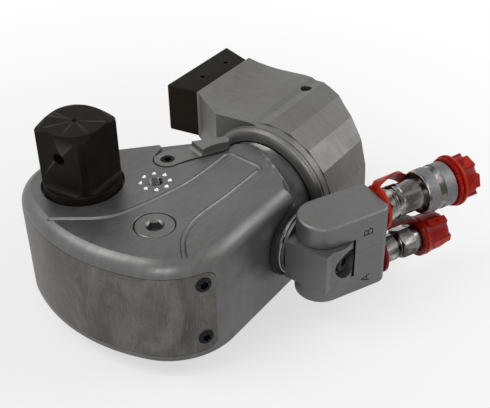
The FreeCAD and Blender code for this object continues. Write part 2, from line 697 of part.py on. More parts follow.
# Thread of the swivel post and the four shroud screw holes.
pocket(housing, SIDE_PLANE, boss_face_y, cylinder_y - 24,
       [circle(swivel_x, cylinder_z, post_radius + 3)])
side_angle = 241.6
screw_depth = size("screw_depth", 7, "depth of the shroud screws")
screw_radius = size("screw_radius", 2.5, "radius of the shroud screws")
head_radius = size("head_radius", 5, "head radius of the shroud screws")
head_length = size("head_length", 3.5, "head length of the shroud screws")
side_screw_x = size("side_screw_x", -20.5, "shroud screws on the curved side")
side_centre = (flat_start[0], flat_start[1] + corner_radius)
side_screw_y = side_centre[1] - root(
    corner_radius * corner_radius - (side_screw_x - side_centre[0]) * (side_screw_x - side_centre[0]))
back_screw_along = shroud_back_length - 8
back_screw_x = nose_start[0] + back_screw_along * sine(wall_angle)
back_screw_y = nose_start[1] - back_screw_along * cosine(wall_angle)
screw_high_z = size("screw_high_z", -16.5, "upper shroud screws")
screw_low_z = size("screw_low_z", -57.9, "lower shroud screws")
side_way = (math.cos(math.radians(side_angle)), math.sin(math.radians(side_angle)), 0)
back_way = (math.cos(math.radians(wall_angle.value)), math.sin(math.radians(wall_angle.value)), 0)
screw_places = [
    (x - 0.4 * way[0], y - 0.4 * way[1], z, way)
    for x, y, way in ((side_screw_x, side_screw_y, side_way),
                      (back_screw_x, back_screw_y, back_way))
    for z in (screw_high_z, screw_low_z)]


def screw_holes(label, base, extra):
    """Cuts counterbored holes for the shroud screws out of a piece."""
    tools = []
    for number, (x, y, z, way) in enumerate(screw_places):
        for part_name, radius, low, high in (
                ("head", head_radius + extra, -head_length - extra, as_size(6)),
                ("shank", screw_radius + extra * 0.5, -(head_length + screw_depth) - extra,
                 as_size(0))):
            tool = doc.addObject("Part::Cylinder", f"{label}_{part_name}_{number}")
            bind(tool, "Radius", radius)
            bind(tool, "Height", high - low)
            tool.Placement.Rotation = Rotation(Vector(0, 0, 1), Vector(*way))
            for axis, amount, share in zip("xyz", (x, y, z), way):
                bind(tool, f".Placement.Base.{axis}", amount + low * round(share, 6))
            tools.append(tool)
    joined = doc.addObject("Part::MultiFuse", f"{label}_tools")
    joined.Shapes = tools
    cut = doc.addObject("Part::Cut", label)
    cut.Base, cut.Tool = base, joined
    return cut


housing.Label = "housing_block"
keep("housing", screw_holes("housing", housing, seat_gap))

shroud = new_body("shroud_band")
pad(shroud, PLAN_PLANE, shroud_bottom, shroud_top, [shroud_band(0, shroud_wall)])
keep("nose_shroud", screw_holes("nose_shroud", shroud, seat_gap))
keep("shroud_screws", screw("shroud_screws", screw_places, head_radius, head_length,
                            screw_radius, screw_depth, head_radius * 0.5))

# Bushes, plug and the pieces that close the cylinder.
keep("drive_bush_upper", ring_body("drive_bush_upper", "Z", -wall_top, -lip_depth,
                                   hub_radius + running_gap, bush_radius))
keep("drive_bush_lower", ring_body("drive_bush_lower", "Z", housing_bottom + lip_depth,
                                   wall_bottom, hub_radius + running_gap, bush_radius))
plug = new_body("access_plug")
pad(plug, PLAN_PLANE, -10, 0, [circle(plug_x, plug_y, plug_radius)])
pocket(plug, PLAN_PLANE, -6, 0, [hexagon(plug_x, plug_y, plug_radius * 0.9)])
keep("access_plug", plug)

barrel_frame = (0, cylinder_y, cylinder_z, 0)
end_cap = new_body("cylinder_end_cap", barrel_frame)
pad(end_cap, END_PLANE, cap_start_x, barrel_end_x - 0.5, [circle(0, 0, bore_radius)])
pocket(end_cap, END_PLANE, barrel_end_x - 7, barrel_end_x, [hexagon(0, 0, 17)])
spanner = pocket(end_cap, END_PLANE, barrel_end_x - 6, barrel_end_x,
                 [circle(20, 0, 2.6)])
pattern(end_cap, spanner, (origin_feature(end_cap, "X_Axis"), [""]), 4)
turned(end_cap, "X", [(cap_start_x + 2, bore_radius - 2.5), (cap_start_x + 5, bore_radius - 2.5),
                      (cap_start_x + 5, bore_radius + 1), (cap_start_x + 2, bore_radius + 1)],
       "PartDesign::Groove")
keep("cylinder_end_cap", end_cap)
keep("end_cap_seal", ring_body("end_cap_seal", "X", cap_start_x + 2.2, cap_start_x + 4.8,
                               bore_radius - 2.5, bore_radius, barrel_frame))
gland = new_body("rod_gland", barrel_frame)
turned(gland, "X", [
    (gland_start_x, rod_radius + running_gap), (gland_start_x + 4, rod_radius + running_gap),
    (gland_start_x + 4, rod_radius + 3), (gland_start_x + 7, rod_radius + 3),
    (gland_start_x + 7, rod_radius + running_gap), (bore_start_x, rod_radius + running_gap),
    (bore_start_x, gland_radius), (gland_start_x, gland_radius)])
keep("rod_gland", gland)
keep("rod_seal", ring_body("rod_seal", "X", gland_start_x + 4.3, gland_start_x + 6.7,
                           rod_radius + running_gap, rod_radius + 3, barrel_frame))

# Piston, rod and their seal.
piston = new_body("piston", barrel_frame)
piston_end_x = piston_start_x + piston_length
piston_rim = bore_radius - running_gap
turned(piston, "X", [
    (piston_start_x, rod_radius * 0.6), (piston_end_x, rod_radius * 0.6),
    (piston_end_x, piston_rim), (piston_start_x + 11, piston_rim),
    (piston_start_x + 11, piston_rim - 3), (piston_start_x + 7, piston_rim - 3),
    (piston_start_x + 7, piston_rim), (piston_start_x, piston_rim)])
keep("piston", piston)
keep("piston_seal", ring_body("piston_seal", "X", piston_start_x + 7.3, piston_start_x + 10.7,
                              piston_rim - 3, piston_rim, barrel_frame))
rod = new_body("piston_rod")
block_start_x = rest_pin_x - rod_block_length / 2
block_end_x = rest_pin_x + rod_block_length / 2
block_low_z = plate_lower_top + 2 * free_gap
block_high_z = plate_upper_low - 2 * free_gap
pad(rod, PLAN_PLANE, block_low_z, block_high_z, [outline(
    (block_start_x, rod_block_low_y, "round", 4), (block_end_x, rod_block_low_y, "round", 4),
    (block_end_x, rod_block_high_y, "round", 4), (block_start_x, rod_block_high_y, "round", 4))])
pad(rod, END_PLANE, block_end_x - 1, piston_start_x, [circle(cylinder_y, cylinder_z, rod_radius)])
pad(rod, END_PLANE, piston_start_x - 1, piston_end_x - 0.5,
    [circle(cylinder_y, cylinder_z, rod_radius * 0.6)])
slot_x = rod_pin_radius + free_gap
pocket(rod, PLAN_PLANE, block_low_z, block_high_z, [box_outline(
    rest_pin_x - slot_x, slot_low_y, rest_pin_x + slot_x, slot_high_y)])
keep("piston_rod", rod)

# Drive plates, pins and drive pawl in the frame of the lever.
lever_frame = (0, 0, 0, lever_rest_angle)


def drive_plate(label, low, high):
    plate = new_body(label, lever_frame)
    pad(plate, PLAN_PLANE, low, high, [circle(0, 0, plate_radius)])
    pad(plate, PLAN_PLANE, low, high, [outline(
        (-plate_radius + 4, -17.8),
        (-lever_end_radius, -lever_radius, "left", lever_end_radius),
        (0, -lever_radius - lever_end_radius, "left", lever_end_radius),
        (lever_end_radius, -lever_radius), (pawl_pin_x + 8.6, pawl_pin_y - 2),
        (plate_radius - 3.5, -15.8))])
    pocket(plate, PLAN_PLANE, low, high, [circle(0, 0, hub_radius + running_gap)])
    pocket(plate, PLAN_PLANE, low, high, [circle(0, -lever_radius, rod_pin_radius)])
    pocket(plate, PLAN_PLANE, low, high, [circle(pawl_pin_x, pawl_pin_y, pawl_pin_radius)])
    keep(label, plate)


drive_plate("drive_plate_upper", plate_upper_low, plate_upper_top)
drive_plate("drive_plate_lower", plate_lower_low, plate_lower_top)
rod_pin = new_body("rod_pin", lever_frame)
pad(rod_pin, PLAN_PLANE, plate_lower_low, plate_upper_top,
    [circle(0, -lever_radius, rod_pin_radius)])
keep("rod_pin", rod_pin)
pawl_pin = new_body("drive_pawl_pin", lever_frame)
pad(pawl_pin, PLAN_PLANE, plate_lower_low, plate_upper_top,
    [circle(pawl_pin_x, pawl_pin_y, pawl_pin_radius)])
keep("drive_pawl_pin", pawl_pin)
tip_radius = ratchet_crest + pawl_clear
drive_pawl = new_body("drive_pawl", lever_frame)
pad(drive_pawl, PLAN_PLANE, pawl_low, pawl_high, [
    outline((2, -tip_radius), (3.4, -tip_radius - 5.2),
            (pawl_pin_x - pawl_hub_radius * 0.7, pawl_pin_y - pawl_hub_radius * 0.7),
            (pawl_pin_x + pawl_hub_radius * 0.35, pawl_pin_y + pawl_hub_radius * 0.9),
            (11, -tip_radius - 2.8))])
pad(drive_pawl, PLAN_PLANE, pawl_low, pawl_high,
    [circle(pawl_pin_x, pawl_pin_y, pawl_hub_radius)])
pocket(drive_pawl, PLAN_PLANE, pawl_low, pawl_high,
       [circle(pawl_pin_x, pawl_pin_y, pawl_pin_radius + running_gap)])
keep("drive_pawl", drive_pawl)

# Ratchet wheel with its two hubs.
drive_frame = (0, 0, 0, square_turn)
ratchet = new_body("ratchet", drive_frame)
pad(ratchet, PLAN_PLANE, ratchet_low, ratchet_high, [circle(0, 0, ratchet_crest)])
over_crest = ratchet_crest + 1.2
gap_angle = as_size(360) / tooth_count * 0.96
tooth = pocket(ratchet, PLAN_PLANE, ratchet_low, ratchet_high, [outline(
    (ratchet_root, 0), (over_crest, 0),
    (over_crest * cosine(gap_angle), over_crest * sine(gap_angle)))])
pattern(ratchet, tooth, (origin_feature(ratchet, "Z_Axis"), [""]), tooth_count)
pad(ratchet, PLAN_PLANE, housing_bottom + lip_depth + free_gap, -lip_depth - free_gap,
    [circle(0, 0, hub_radius)])
pocket(ratchet, PLAN_PLANE, housing_bottom, 0, [hexagon(0, 0, shaft_flats + 2 * seat_gap)])
keep("ratchet", ratchet)

# Square drive, its retainer and the release button underneath.
drive = new_body("square_drive", drive_frame)
half = square_width / 2
pad(drive, PLAN_PLANE, -lip_depth + free_gap, drive_height, [circle(0, 0, corner_turn_radius)])
pocket(drive, PLAN_PLANE, collar_height, drive_height, [
    circle(0, 0, corner_turn_radius + 6), box_outline(-half, -half, half, half)])
turned(drive, "Z", [
    (drive_edge_height, corner_turn_radius), (drive_height, drive_flat_radius),
    (drive_height + 2, drive_flat_radius), (drive_height + 2, corner_turn_radius + 3),
    (drive_edge_height, corner_turn_radius + 3)], "PartDesign::Groove")
pad(drive, PLAN_PLANE, housing_bottom + lip_depth + free_gap, 0, [hexagon(0, 0, shaft_flats)])
pocket(drive, END_PLANE, -corner_turn_radius, corner_turn_radius,
       [circle(0, pin_hole_height, pin_hole_radius)])
button_radius = size("button_radius", 8, "radius of the drive release button")
button_travel = size("button_travel", 2, "travel of the drive release button")
pocket(drive, PLAN_PLANE, housing_bottom, housing_bottom + 26,
       [circle(0, 0, button_radius + running_gap)])
keep("square_drive", drive)
retainer = new_body("drive_retainer", drive_frame)
pad(retainer, PLAN_PLANE, housing_bottom + 1, housing_bottom + lip_depth,
    [circle(0, 0, corner_turn_radius), circle(0, 0, button_radius + running_gap)])
keep("drive_retainer", retainer)
button = new_body("retainer_button", drive_frame)
pad(button, PLAN_PLANE, housing_bottom + 0.3, housing_bottom + 14,
    [circle(0, 0, button_radius)])
keep("retainer_button", button)

# Holding pawl, its shaft, the release lever and its screw.
pawl = new_body("holding_pawl")
pad(pawl, PLAN_PLANE, pawl_low, pawl_high, [outline(
    (23.1, -27.2), (25.2, -30.7), (pivot_x - 1, pivot_y - lever_hub_radius + 0.3),
    (pivot_x - 1, pivot_y + lever_hub_radius - 0.3), (30, -21.6), (26, -25))])
pad(pawl, PLAN_PLANE, pawl_low, pawl_high, [circle(pivot_x, pivot_y, lever_hub_radius)])
pocket(pawl, PLAN_PLANE, pawl_low, pawl_high, [circle(pivot_x, pivot_y, pivot_radius)])
keep("holding_pawl", pawl)
lever_low = -recess_depth + free_gap
shaft = new_body("pawl_shaft")
pad(shaft, PLAN_PLANE, housing_bottom + 6.5, lever_low, [circle(pivot_x, pivot_y, pivot_radius)])
keep("pawl_shaft", shaft)
release = new_body("release_lever")
pad(release, PLAN_PLANE, lever_low, lever_top, [outline(
    (pivot_x - 3.9, pivot_y + 8.1, "left", lever_hub_radius),
    (pivot_x - 1.4, pivot_y - 8.9), (64.4, -43.2), (71.8, -47.7), (80.3, -52.6, "round", 2),
    (85.8, -51.7, "round", 2), (86.9, -46, "round", 2), (74.6, -37), (70, -29), (58, -21))])
pad(release, PLAN_PLANE, lever_top, lever_arm_top, [outline(
    (66.4, -44.6), (71.8, -47.7), (80.3, -52.6, "round", 2), (85.8, -51.7, "round", 2),
    (86.9, -46, "round", 2), (74.6, -37), (71, -31))])
pocket(release, PLAN_PLANE, lever_low, lever_top, [circle(pivot_x, pivot_y, 3)])
keep("release_lever", release)
lever_screw = new_body("lever_screw")
pad(lever_screw, PLAN_PLANE, lever_low, lever_top + 0.5, [circle(pivot_x, pivot_y, 3)])
pad(lever_screw, PLAN_PLANE, lever_top, lever_top + 2.2, [circle(pivot_x, pivot_y, 5)])
pocket(lever_screw, PLAN_PLANE, lever_top, lever_top + 2.2, [hexagon(pivot_x, pivot_y, 4)])
keep("lever_screw", lever_screw)

# Reaction arm in the frame of the barrel.
arm = new_body("reaction_arm", barrel_frame)


def from_barrel(y, z):
    return (y - cylinder_y, z - cylinder_z)


facets = []
for number in range(18):
    angle = 87 + 20 * number
    facets.append((facet_radius * cosine(angle), facet_radius * sine(angle)))
pad(arm, END_PLANE, facet_start_x, arm_end_x, [outline(*facets)])
pad(arm, END_PLANE, paddle_front_x, arm_end_x, [outline(
    from_barrel(-71, 9), from_barrel(-71, -84), from_barrel(-56, -82.5),
    from_barrel(-38.5, -70), (*from_barrel(-29, -60), "right", 62),
    from_barrel(pad_inner_y, pad_low_z), from_barrel(pad_inner_y, pad_high_z),
    from_barrel(-20, 7.6), from_barrel(-56.4, 10.9))])
pad(arm, END_PLANE, arm_front_x, facet_start_x, [circle(0, 0, arm_ring_radius)])
pocket(arm, PLAN_PLANE, -60, 70, [outline(
    (paddle_front_x - 9, 45), (paddle_front_x, 45, "left", 34),
    (pad_inner_start_x, pad_inner_y - cylinder_y - 0.4),
    (pad_inner_start_x, 90), (paddle_front_x - 9, 90))])
pocket(arm, PLAN_PLANE, -60, 70, [outline(
    (arm_end_x, 21), (181, 6), (173, -14), (164.4, -31), (156, -47.5), (155, -60),
    (arm_end_x + 5, -60), (arm_end_x + 5, 21))])
pocket(arm, END_PLANE, arm_front_x, arm_end_x, [circle(0, 0, arm_bore)])
key_gap = seat_gap * 3
key = pad(arm, END_PLANE, ring_end_x + 12, barrel_end_x, [box_outline(
    -spline_width / 2 + key_gap, barrel_radius - spline_depth + key_gap,
    spline_width / 2 - key_gap, arm_bore + 1)])
pattern(arm, key, (origin_feature(arm, "X_Axis"), [""]), spline_count)
pocket(arm, PLAN_PLANE, 20, 70, [circle(lock_x, lock_y - cylinder_y, lock_radius)])
pocket(arm, SIDE_PLANE, pad_inner_y - cylinder_y - 12, pad_inner_y - cylinder_y,
       [circle(137, -9 - cylinder_z, pad_pin_radius), circle(164, -9 - cylinder_z, pad_pin_radius)])
keep("reaction_arm", arm)

reaction_pad = new_body("reaction_pad")
pad(reaction_pad, PLAN_PLANE, pad_low_z, pad_high_z, [outline(
    (pad_inner_start_x, pad_inner_y), (pad_inner_end_x, pad_inner_y),
    (pad_outer_end_x, pad_outer_y, "round", 2), (pad_outer_start_x, pad_outer_y, "round", 2))])
pocket(reaction_pad, SIDE_PLANE, pad_inner_y, pad_inner_y + 14,
       [circle(137, -9, pad_pin_radius), circle(164, -9, pad_pin_radius)])
keep("reaction_pad", reaction_pad)
pad_pins = doc.addObject("Part::Compound", "pad_pins")
pin_solids = []
for number, along in enumerate((137, 164)):
    pin = doc.addObject("Part::Cylinder", f"pad_pin_{number}")
    bind(pin, "Radius", pad_pin_radius)
    pin.Height = 24
    pin.Placement.Rotation = Rotation(Vector(0, 0, 1), Vector(0, 1, 0))
    bind(pin, ".Placement.Base.x", along)
    bind(pin, ".Placement.Base.y", pad_inner_y - 11.5)
    bind(pin, ".Placement.Base.z", -9)
    pin_solids.append(pin)
pad_pins.Links = pin_solids
keep("pad_pins", pad_pins)
lock = new_body("arm_lock_screw")
pad(lock, PLAN_PLANE, -0.5, 8, [circle(lock_x, lock_y, lock_radius)])
pocket(lock, PLAN_PLANE, 3, 8, [hexagon(lock_x, lock_y, lock_radius)])
keep("arm_lock_screw", lock)

# Swivel post, ring, disc and block.
post_frame = (swivel_x, 0, cylinder_z, 0)
ring_face_y = boss_face_y - swivel_ring_width
disc_face_y = ring_face_y - swivel_disc_width
post_end_y = yoke_pin_y - 14
post = new_body("swivel_post", post_frame)
turned(post, "Y", [
    (cylinder_y - 24, 0), (cylinder_y - 24, post_radius + 3), (disc_face_y, post_radius + 3),
    (disc_face_y, post_radius), (post_end_y, post_radius), (post_end_y, 0)])
keep("swivel_post", post)
keep("swivel_ring", ring_body("swivel_ring", "Y", ring_face_y, boss_face_y,
                              post_radius + 3, swivel_ring_radius, post_frame))
keep("swivel_disc", ring_body("swivel_disc", "Y", disc_face_y, ring_face_y,
                              post_radius + 3, swivel_disc_radius, post_frame))
post_bolt = new_body("post_bolt", post_frame)
pad(post_bolt, SIDE_PLANE, yoke_pin_y - 19, post_end_y, [hexagon(0, 0, post_radius * 1.7)])
keep("post_bolt", post_bolt)

swivel = new_body("swivel_block")
near_angle = 43.8
far_angle = -129
swivel_low = cylinder_z - block_half
swivel_high = cylinder_z + block_half
pad(swivel, PLAN_PLANE, swivel_low, swivel_high, [outline(
    (block_left_x, block_face_y), (block_left_x, block_far_y),
    (swivel_x + block_radius * cosine(far_angle), block_far_y, "left", block_radius),
    (swivel_x + block_radius * cosine(near_angle), block_face_y))])
pad(swivel, SIDE_PLANE, block_face_y - 1, disc_face_y - free_gap,
    [circle(swivel_x, cylinder_z, block_half - 1.4)])
pocket(swivel, SIDE_PLANE, yoke_pin_y - 24, disc_face_y,
       [circle(swivel_x, cylinder_z, post_radius + running_gap)])
pocket(swivel, SIDE_PLANE, yoke_pin_y - 24, post_end_y,
       [circle(swivel_x, cylinder_z, post_radius + 0.8)])
trunnion_hole = circle(swivel_x, yoke_pin_y, trunnion_radius + running_gap)
pocket(swivel, PLAN_PLANE, swivel_high - trunnion_length, swivel_high, [trunnion_hole])
pocket(swivel, PLAN_PLANE, swivel_low, swivel_low + trunnion_length, [trunnion_hole])
keep("swivel_block", swivel)

# Yoke halves in the frame of the yoke axis.
yoke_frame = (swivel_x, yoke_pin_y, 0, yoke_angle)
slot_high = swivel_high + yoke_slot_gap
slot_low = swivel_low - yoke_slot_gap
clamp_x = size("clamp_x", 27, "yoke screws from the yoke axis")
clamp_y = size("clamp_y", 12, "yoke screws beside the middle")
clamp_radius = size("clamp_radius", 2, "radius of the yoke screws")
clamp_head = size("clamp_head", 3.6, "head radius of the yoke screws")


def yoke_half_body(label, low, high, slot_from, slot_to, port_z, trunnion):
    body = new_body(label, yoke_frame)
    pad(body, PLAN_PLANE, low, high, [outline(
        (0, yoke_half, "left", yoke_half), (-yoke_half, 0, "left", yoke_half),
        (0, -yoke_half),
        (yoke_length, -yoke_half, "round", yoke_corner),
        (yoke_length, yoke_half, "round", yoke_corner))])
    pocket(body, PLAN_PLANE, slot_from, slot_to, [circle(0, 0, yoke_slot_radius)])
    pad(body, PLAN_PLANE, trunnion[0], trunnion[1], [circle(0, 0, trunnion_radius)])
    pocket(body, END_PLANE, yoke_length - 8, yoke_length, [circle(0, port_z, port_radius)])
    pocket(body, PLAN_PLANE, low, high, [circle(clamp_x, clamp_y, clamp_radius),
                                         circle(clamp_x, -clamp_y, clamp_radius)])
    if low.value < -60:
        pocket(body, PLAN_PLANE, low, low + 4, [circle(clamp_x, clamp_y, clamp_head + seat_gap),
                                                circle(clamp_x, -clamp_y, clamp_head + seat_gap)])
    keep(label, body)


yoke_half_body("yoke_upper", yoke_split, yoke_top, yoke_split, slot_high, port_b_z,
               (slot_high - trunnion_length, slot_high + 1))
yoke_half_body("yoke_lower", yoke_bottom, yoke_split, slot_low, yoke_split, port_a_z,
               (slot_low - 1, slot_low + trunnion_length))


def yoke_point(along, beside):
    return (swivel_x + along * cosine(yoke_angle) - beside * sine(yoke_angle),
            yoke_pin_y + along * sine(yoke_angle) + beside * cosine(yoke_angle))


keep("yoke_screws", screw("yoke_screws", [
    (*yoke_point(clamp_x, clamp_y), yoke_bottom + 0.3, (0, 0, -1)),
    (*yoke_point(clamp_x, -clamp_y), yoke_bottom + 0.3, (0, 0, -1))],
    clamp_head, as_size(3.7), clamp_radius, as_size(50), clamp_head * 0.5))

# Upper coupler, its sleeve, strap and dust cap.
frame_b = (swivel_x, yoke_pin_y, port_b_z, yoke_angle)
coupler_b = new_body("coupler_b_body", frame_b)
port_start = yoke_length - 7.5
turned(coupler_b, "X", [
    (port_start, 2.5), (face_b - 18, 2.5), (face_b - 18, mouth_b_radius),
    (face_b, mouth_b_radius), (face_b, barrel_b_radius), (collar_b_end, barrel_b_radius),
    (collar_b_end, collar_b_radius), (yoke_length, collar_b_radius),
    (yoke_length, port_radius), (port_start, port_radius)])
pad(coupler_b, END_PLANE, collar_b_end, hex_b_end, [hexagon(0, 0, hex_b_flats), circle(0, 0, 8)])
keep("coupler_b_body", coupler_b)
sleeve = new_body("coupler_b_sleeve", frame_b)
turned(sleeve, "X", [
    (sleeve_b_start, barrel_b_radius + running_gap),
    (face_b - 0.4, barrel_b_radius + running_gap),
    (face_b - 0.4, sleeve_b_radius - 1), (face_b - 1.4, sleeve_b_radius),
    (face_b - 9.4, sleeve_b_radius), (face_b - 10, sleeve_b_radius - 0.6),
    (face_b - 14.4, sleeve_b_radius - 0.6), (face_b - 15, sleeve_b_radius),
    (sleeve_b_start + 1, sleeve_b_radius), (sleeve_b_start, sleeve_b_radius - 1)])
keep("coupler_b_sleeve", sleeve)
poppet_b = new_body("coupler_b_poppet", frame_b)
turned(poppet_b, "X", [
    (face_b - 24, 0), (face_b - 11.4, 0), (face_b - 11.4, 3.4), (face_b - 13, 5.4),
    (face_b - 15.5, 5.4), (face_b - 15.5, 2.5 - running_gap), (face_b - 24, 2.5 - running_gap)])
keep("coupler_b_poppet", poppet_b)
cap_b = new_body("dust_cap_b", frame_b)
turned(cap_b, "X", [
    (face_b - 11, 0), (cap_b_end, 0), (cap_b_end, cap_b_radius - 2),
    (cap_b_end - 2, cap_b_radius), (face_b + 6, cap_b_radius), (face_b + 6, cap_b_radius - 2.5),
    (face_b + 2.9, cap_b_radius - 2.5), (face_b + 2.9, cap_b_flange), (face_b + 0.4, cap_b_flange),
    (face_b + 0.4, mouth_b_radius - running_gap), (face_b - 11, mouth_b_radius - running_gap)])
keep("dust_cap_b", cap_b)


def strap(label, frame, near, far, path):
    """A cap strap, near and far are start, end, inner and outer radius of its rings."""
    body = new_body(label, frame)
    for start, end, inner, outer in (near, far):
        pad(body, END_PLANE, start, end, [circle(0, 0, outer)])
    forward = [(x, z) for x, z in path]
    backward = [(x, z - strap_thickness) for x, z in reversed(path)]
    pad(body, SIDE_PLANE, -strap_width / 2, strap_width / 2, [outline(*forward, *backward)])
    for start, end, inner, outer in (near, far):
        pocket(body, END_PLANE, start, end, [circle(0, 0, inner)])
    keep(label, body)


strap("strap_b", frame_b,
      (yoke_length + 0.4, yoke_length + 2.6, collar_b_radius + 0.4, as_size(15)),
      (face_b + 3.3, face_b + 5.6, cap_b_radius - 2.1, cap_b_radius + 1.4),
      [(yoke_length + 0.4, 14.5), (yoke_length + 4, 19.5), (yoke_length + 14, 23),
       (face_b - 14, 23), (face_b, 20.5), (face_b + 3.3, 19), (face_b + 5.6, 17)])

# Lower coupler, its poppet, strap and dust cap.
frame_a = (swivel_x, yoke_pin_y, port_a_z, yoke_angle)
coupler_a = new_body("coupler_a_body", frame_a)
turned(coupler_a, "X", [
    (nut_a_start - 1.5, 2.5), (nose_a_end, 2.5), (nose_a_end, nose_a_radius),
    (face_a, nose_a_radius), (face_a, ring_a_radius), (ring_a_start, ring_a_radius),
    (ring_a_start, 8), (nut_a_start - 1.5, 8)])
pad(coupler_a, END_PLANE, nut_a_start, ring_a_start, [
    hexagon(0, 0, nut_a_flats), circle(0, 0, 6)])
keep("coupler_a_body", coupler_a)
adapter = new_body("coupler_a_adapter", frame_a)
turned(adapter, "X", [
    (port_start, 2.5), (nut_a_start - 1.5, 2.5), (nut_a_start - 1.5, 6.2), (neck_a_start, 6.2),
    (neck_a_start, collar_a_radius), (yoke_length, collar_a_radius),
    (yoke_length, port_radius), (port_start, port_radius)])
pad(adapter, END_PLANE, hex_a_start, neck_a_start, [hexagon(0, 0, hex_a_flats), circle(0, 0, 6)])
keep("coupler_a_adapter", adapter)
cap_a = new_body("dust_cap_a", frame_a)
turned(cap_a, "X", [
    (nose_a_end + 0.4, 0), (cap_a_end, 0), (cap_a_end, cap_a_radius - 2),
    (cap_a_end - 2, cap_a_radius), (cap_a_start + 4, cap_a_radius),
    (cap_a_start + 4, cap_a_radius - 2.2), (cap_a_start + 1, cap_a_radius - 2.2),
    (cap_a_start + 1, cap_a_radius), (cap_a_start, cap_a_radius),
    (cap_a_start, nose_a_radius + running_gap), (nose_a_end + 0.4, nose_a_radius + running_gap)])
keep("dust_cap_a", cap_a)
strap("strap_a", frame_a,
      (yoke_length + 0.5, yoke_length + 2.7, collar_a_radius + free_gap, as_size(14.2)),
      (cap_a_start + 1.4, cap_a_start + 3.6, cap_a_radius - 1.8, cap_a_radius + 1.6),
      [(yoke_length + 0.5, 13), (yoke_length + 4, 15.6), (yoke_length + 13, 16.4),
       (cap_a_start - 11, 16.8), (cap_a_start - 1, 16.4), (cap_a_start + 3.6, 13.4)])

doc.recompute()
faults = []
for thing in doc.Objects:
    if "Invalid" in thing.State or "Error" in thing.State:
        faults.append(f"{thing.Name} {thing.Label} {thing.State}")
    if thing.TypeId in ("PartDesign::Pocket", "PartDesign::Groove"):
        base = thing.BaseFeature
        if base is None or base.Shape.isNull() or thing.Shape.isNull():
            faults.append(f"{thing.Name} has no shape")
        elif thing.Shape.Volume > base.Shape.Volume - 1e-3:
            faults.append(f"{thing.Name} removes nothing")
for label, thing in nodes.items():
    if thing.Shape.isNull() or not thing.Shape.isValid():
        faults.append(f"{label} has no valid shape")
if faults:
    raise SystemExit("\n".join(faults))

os.makedirs("parts", exist_ok=True)
for label, thing in nodes.items():
    thing.Shape.exportStep(f"parts/{label}.step")
print(len(nodes), "pieces")
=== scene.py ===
import bmesh
import bpy
import json
import math
from mathutils import Matrix, Vector


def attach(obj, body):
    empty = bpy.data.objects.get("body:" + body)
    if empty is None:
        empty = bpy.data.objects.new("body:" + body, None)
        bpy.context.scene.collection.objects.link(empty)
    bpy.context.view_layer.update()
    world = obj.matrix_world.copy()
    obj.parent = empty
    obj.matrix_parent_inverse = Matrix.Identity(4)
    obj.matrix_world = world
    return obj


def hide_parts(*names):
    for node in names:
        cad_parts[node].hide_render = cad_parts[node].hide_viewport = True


MM = 0.001
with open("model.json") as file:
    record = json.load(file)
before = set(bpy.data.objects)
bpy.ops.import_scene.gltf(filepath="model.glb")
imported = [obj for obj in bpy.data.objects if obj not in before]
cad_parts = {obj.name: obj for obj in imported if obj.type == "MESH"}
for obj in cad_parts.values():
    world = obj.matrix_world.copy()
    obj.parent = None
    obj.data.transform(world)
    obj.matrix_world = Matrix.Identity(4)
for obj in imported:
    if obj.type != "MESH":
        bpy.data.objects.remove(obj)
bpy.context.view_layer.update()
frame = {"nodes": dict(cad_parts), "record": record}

# Places of the main axes, in millimetres and degrees, as in the solid model.
CYLINDER_Y, CYLINDER_Z = -71.0, -38.0
SWIVEL_X, YOKE_PIN_Y = 68.0, -138.4
PORT_B_Z, PORT_A_Z = -19.5, -57.0
YOKE_ANGLE = -24.5
DRIVE_TURN = 6.1
HOUSING_BOTTOM = -76.0
FLOOR_Z = -89.0


def move(x, y, z):
    return Matrix.Translation((x, y, z))


def turn(angle, axis):
    return Matrix.Rotation(math.radians(angle), 4, axis)


BARREL = move(0, CYLINDER_Y, CYLINDER_Z)
POST = move(SWIVEL_X, 0, CYLINDER_Z)
YOKE = move(SWIVEL_X, YOKE_PIN_Y, 0) @ turn(YOKE_ANGLE, "Z")
COUPLER_B = YOKE @ move(0, 0, PORT_B_Z)
COUPLER_A = YOKE @ move(0, 0, PORT_A_Z)
DRIVE = turn(DRIVE_TURN, "Z")
ORIGIN = Matrix.Identity(4)
# Frames that stand an outline up: seen along Y, and seen from the end of the barrel.
FROM_SIDE = Matrix(((1, 0, 0, 0), (0, 0, -1, 0), (0, 1, 0, 0), (0, 0, 0, 1)))
END_VIEW = Matrix(((0, 0, 1, 0), (1, 0, 0, 0), (0, 1, 0, 0), (0, 0, 0, 1)))


def make(name, points, faces, place=ORIGIN):
    """A mesh object from points in millimetres, placed and scaled to metres."""
    mesh = bpy.data.meshes.new(name)
    mesh.from_pydata([tuple((place @ Vector(p)) * MM) for p in points], [], faces)
    mesh.validate()
    piece = bpy.data.objects.new(name, mesh)
    bpy.context.scene.collection.objects.link(piece)
    face_outward(piece)
    return piece


def face_outward(piece):
    """Merges doubles and turns every face outward."""
    work = bmesh.new()
    work.from_mesh(piece.data)
    bmesh.ops.remove_doubles(work, verts=work.verts, dist=1e-7)
    bmesh.ops.recalc_face_normals(work, faces=work.faces)
    work.to_mesh(piece.data)
    work.free()


def settle(piece):
    """Applies every modifier of a piece to its mesh."""
    bpy.context.view_layer.update()
    seen = piece.evaluated_get(bpy.context.evaluated_depsgraph_get())
    mesh = bpy.data.meshes.new_from_object(seen)
    piece.modifiers.clear()
    piece.data = mesh
    return piece


def prism(name, outline, low, high, place=ORIGIN):
    """An outline in the XY plane pulled up along Z."""
    count = len(outline)
    points = [(x, y, low) for x, y in outline] + [(x, y, high) for x, y in outline]
    faces = [tuple(reversed(range(count))), tuple(range(count, 2 * count))]
    for i in range(count):
        j = (i + 1) % count
        faces.append((i, j, count + j, count + i))
    return make(name, points, faces, place)


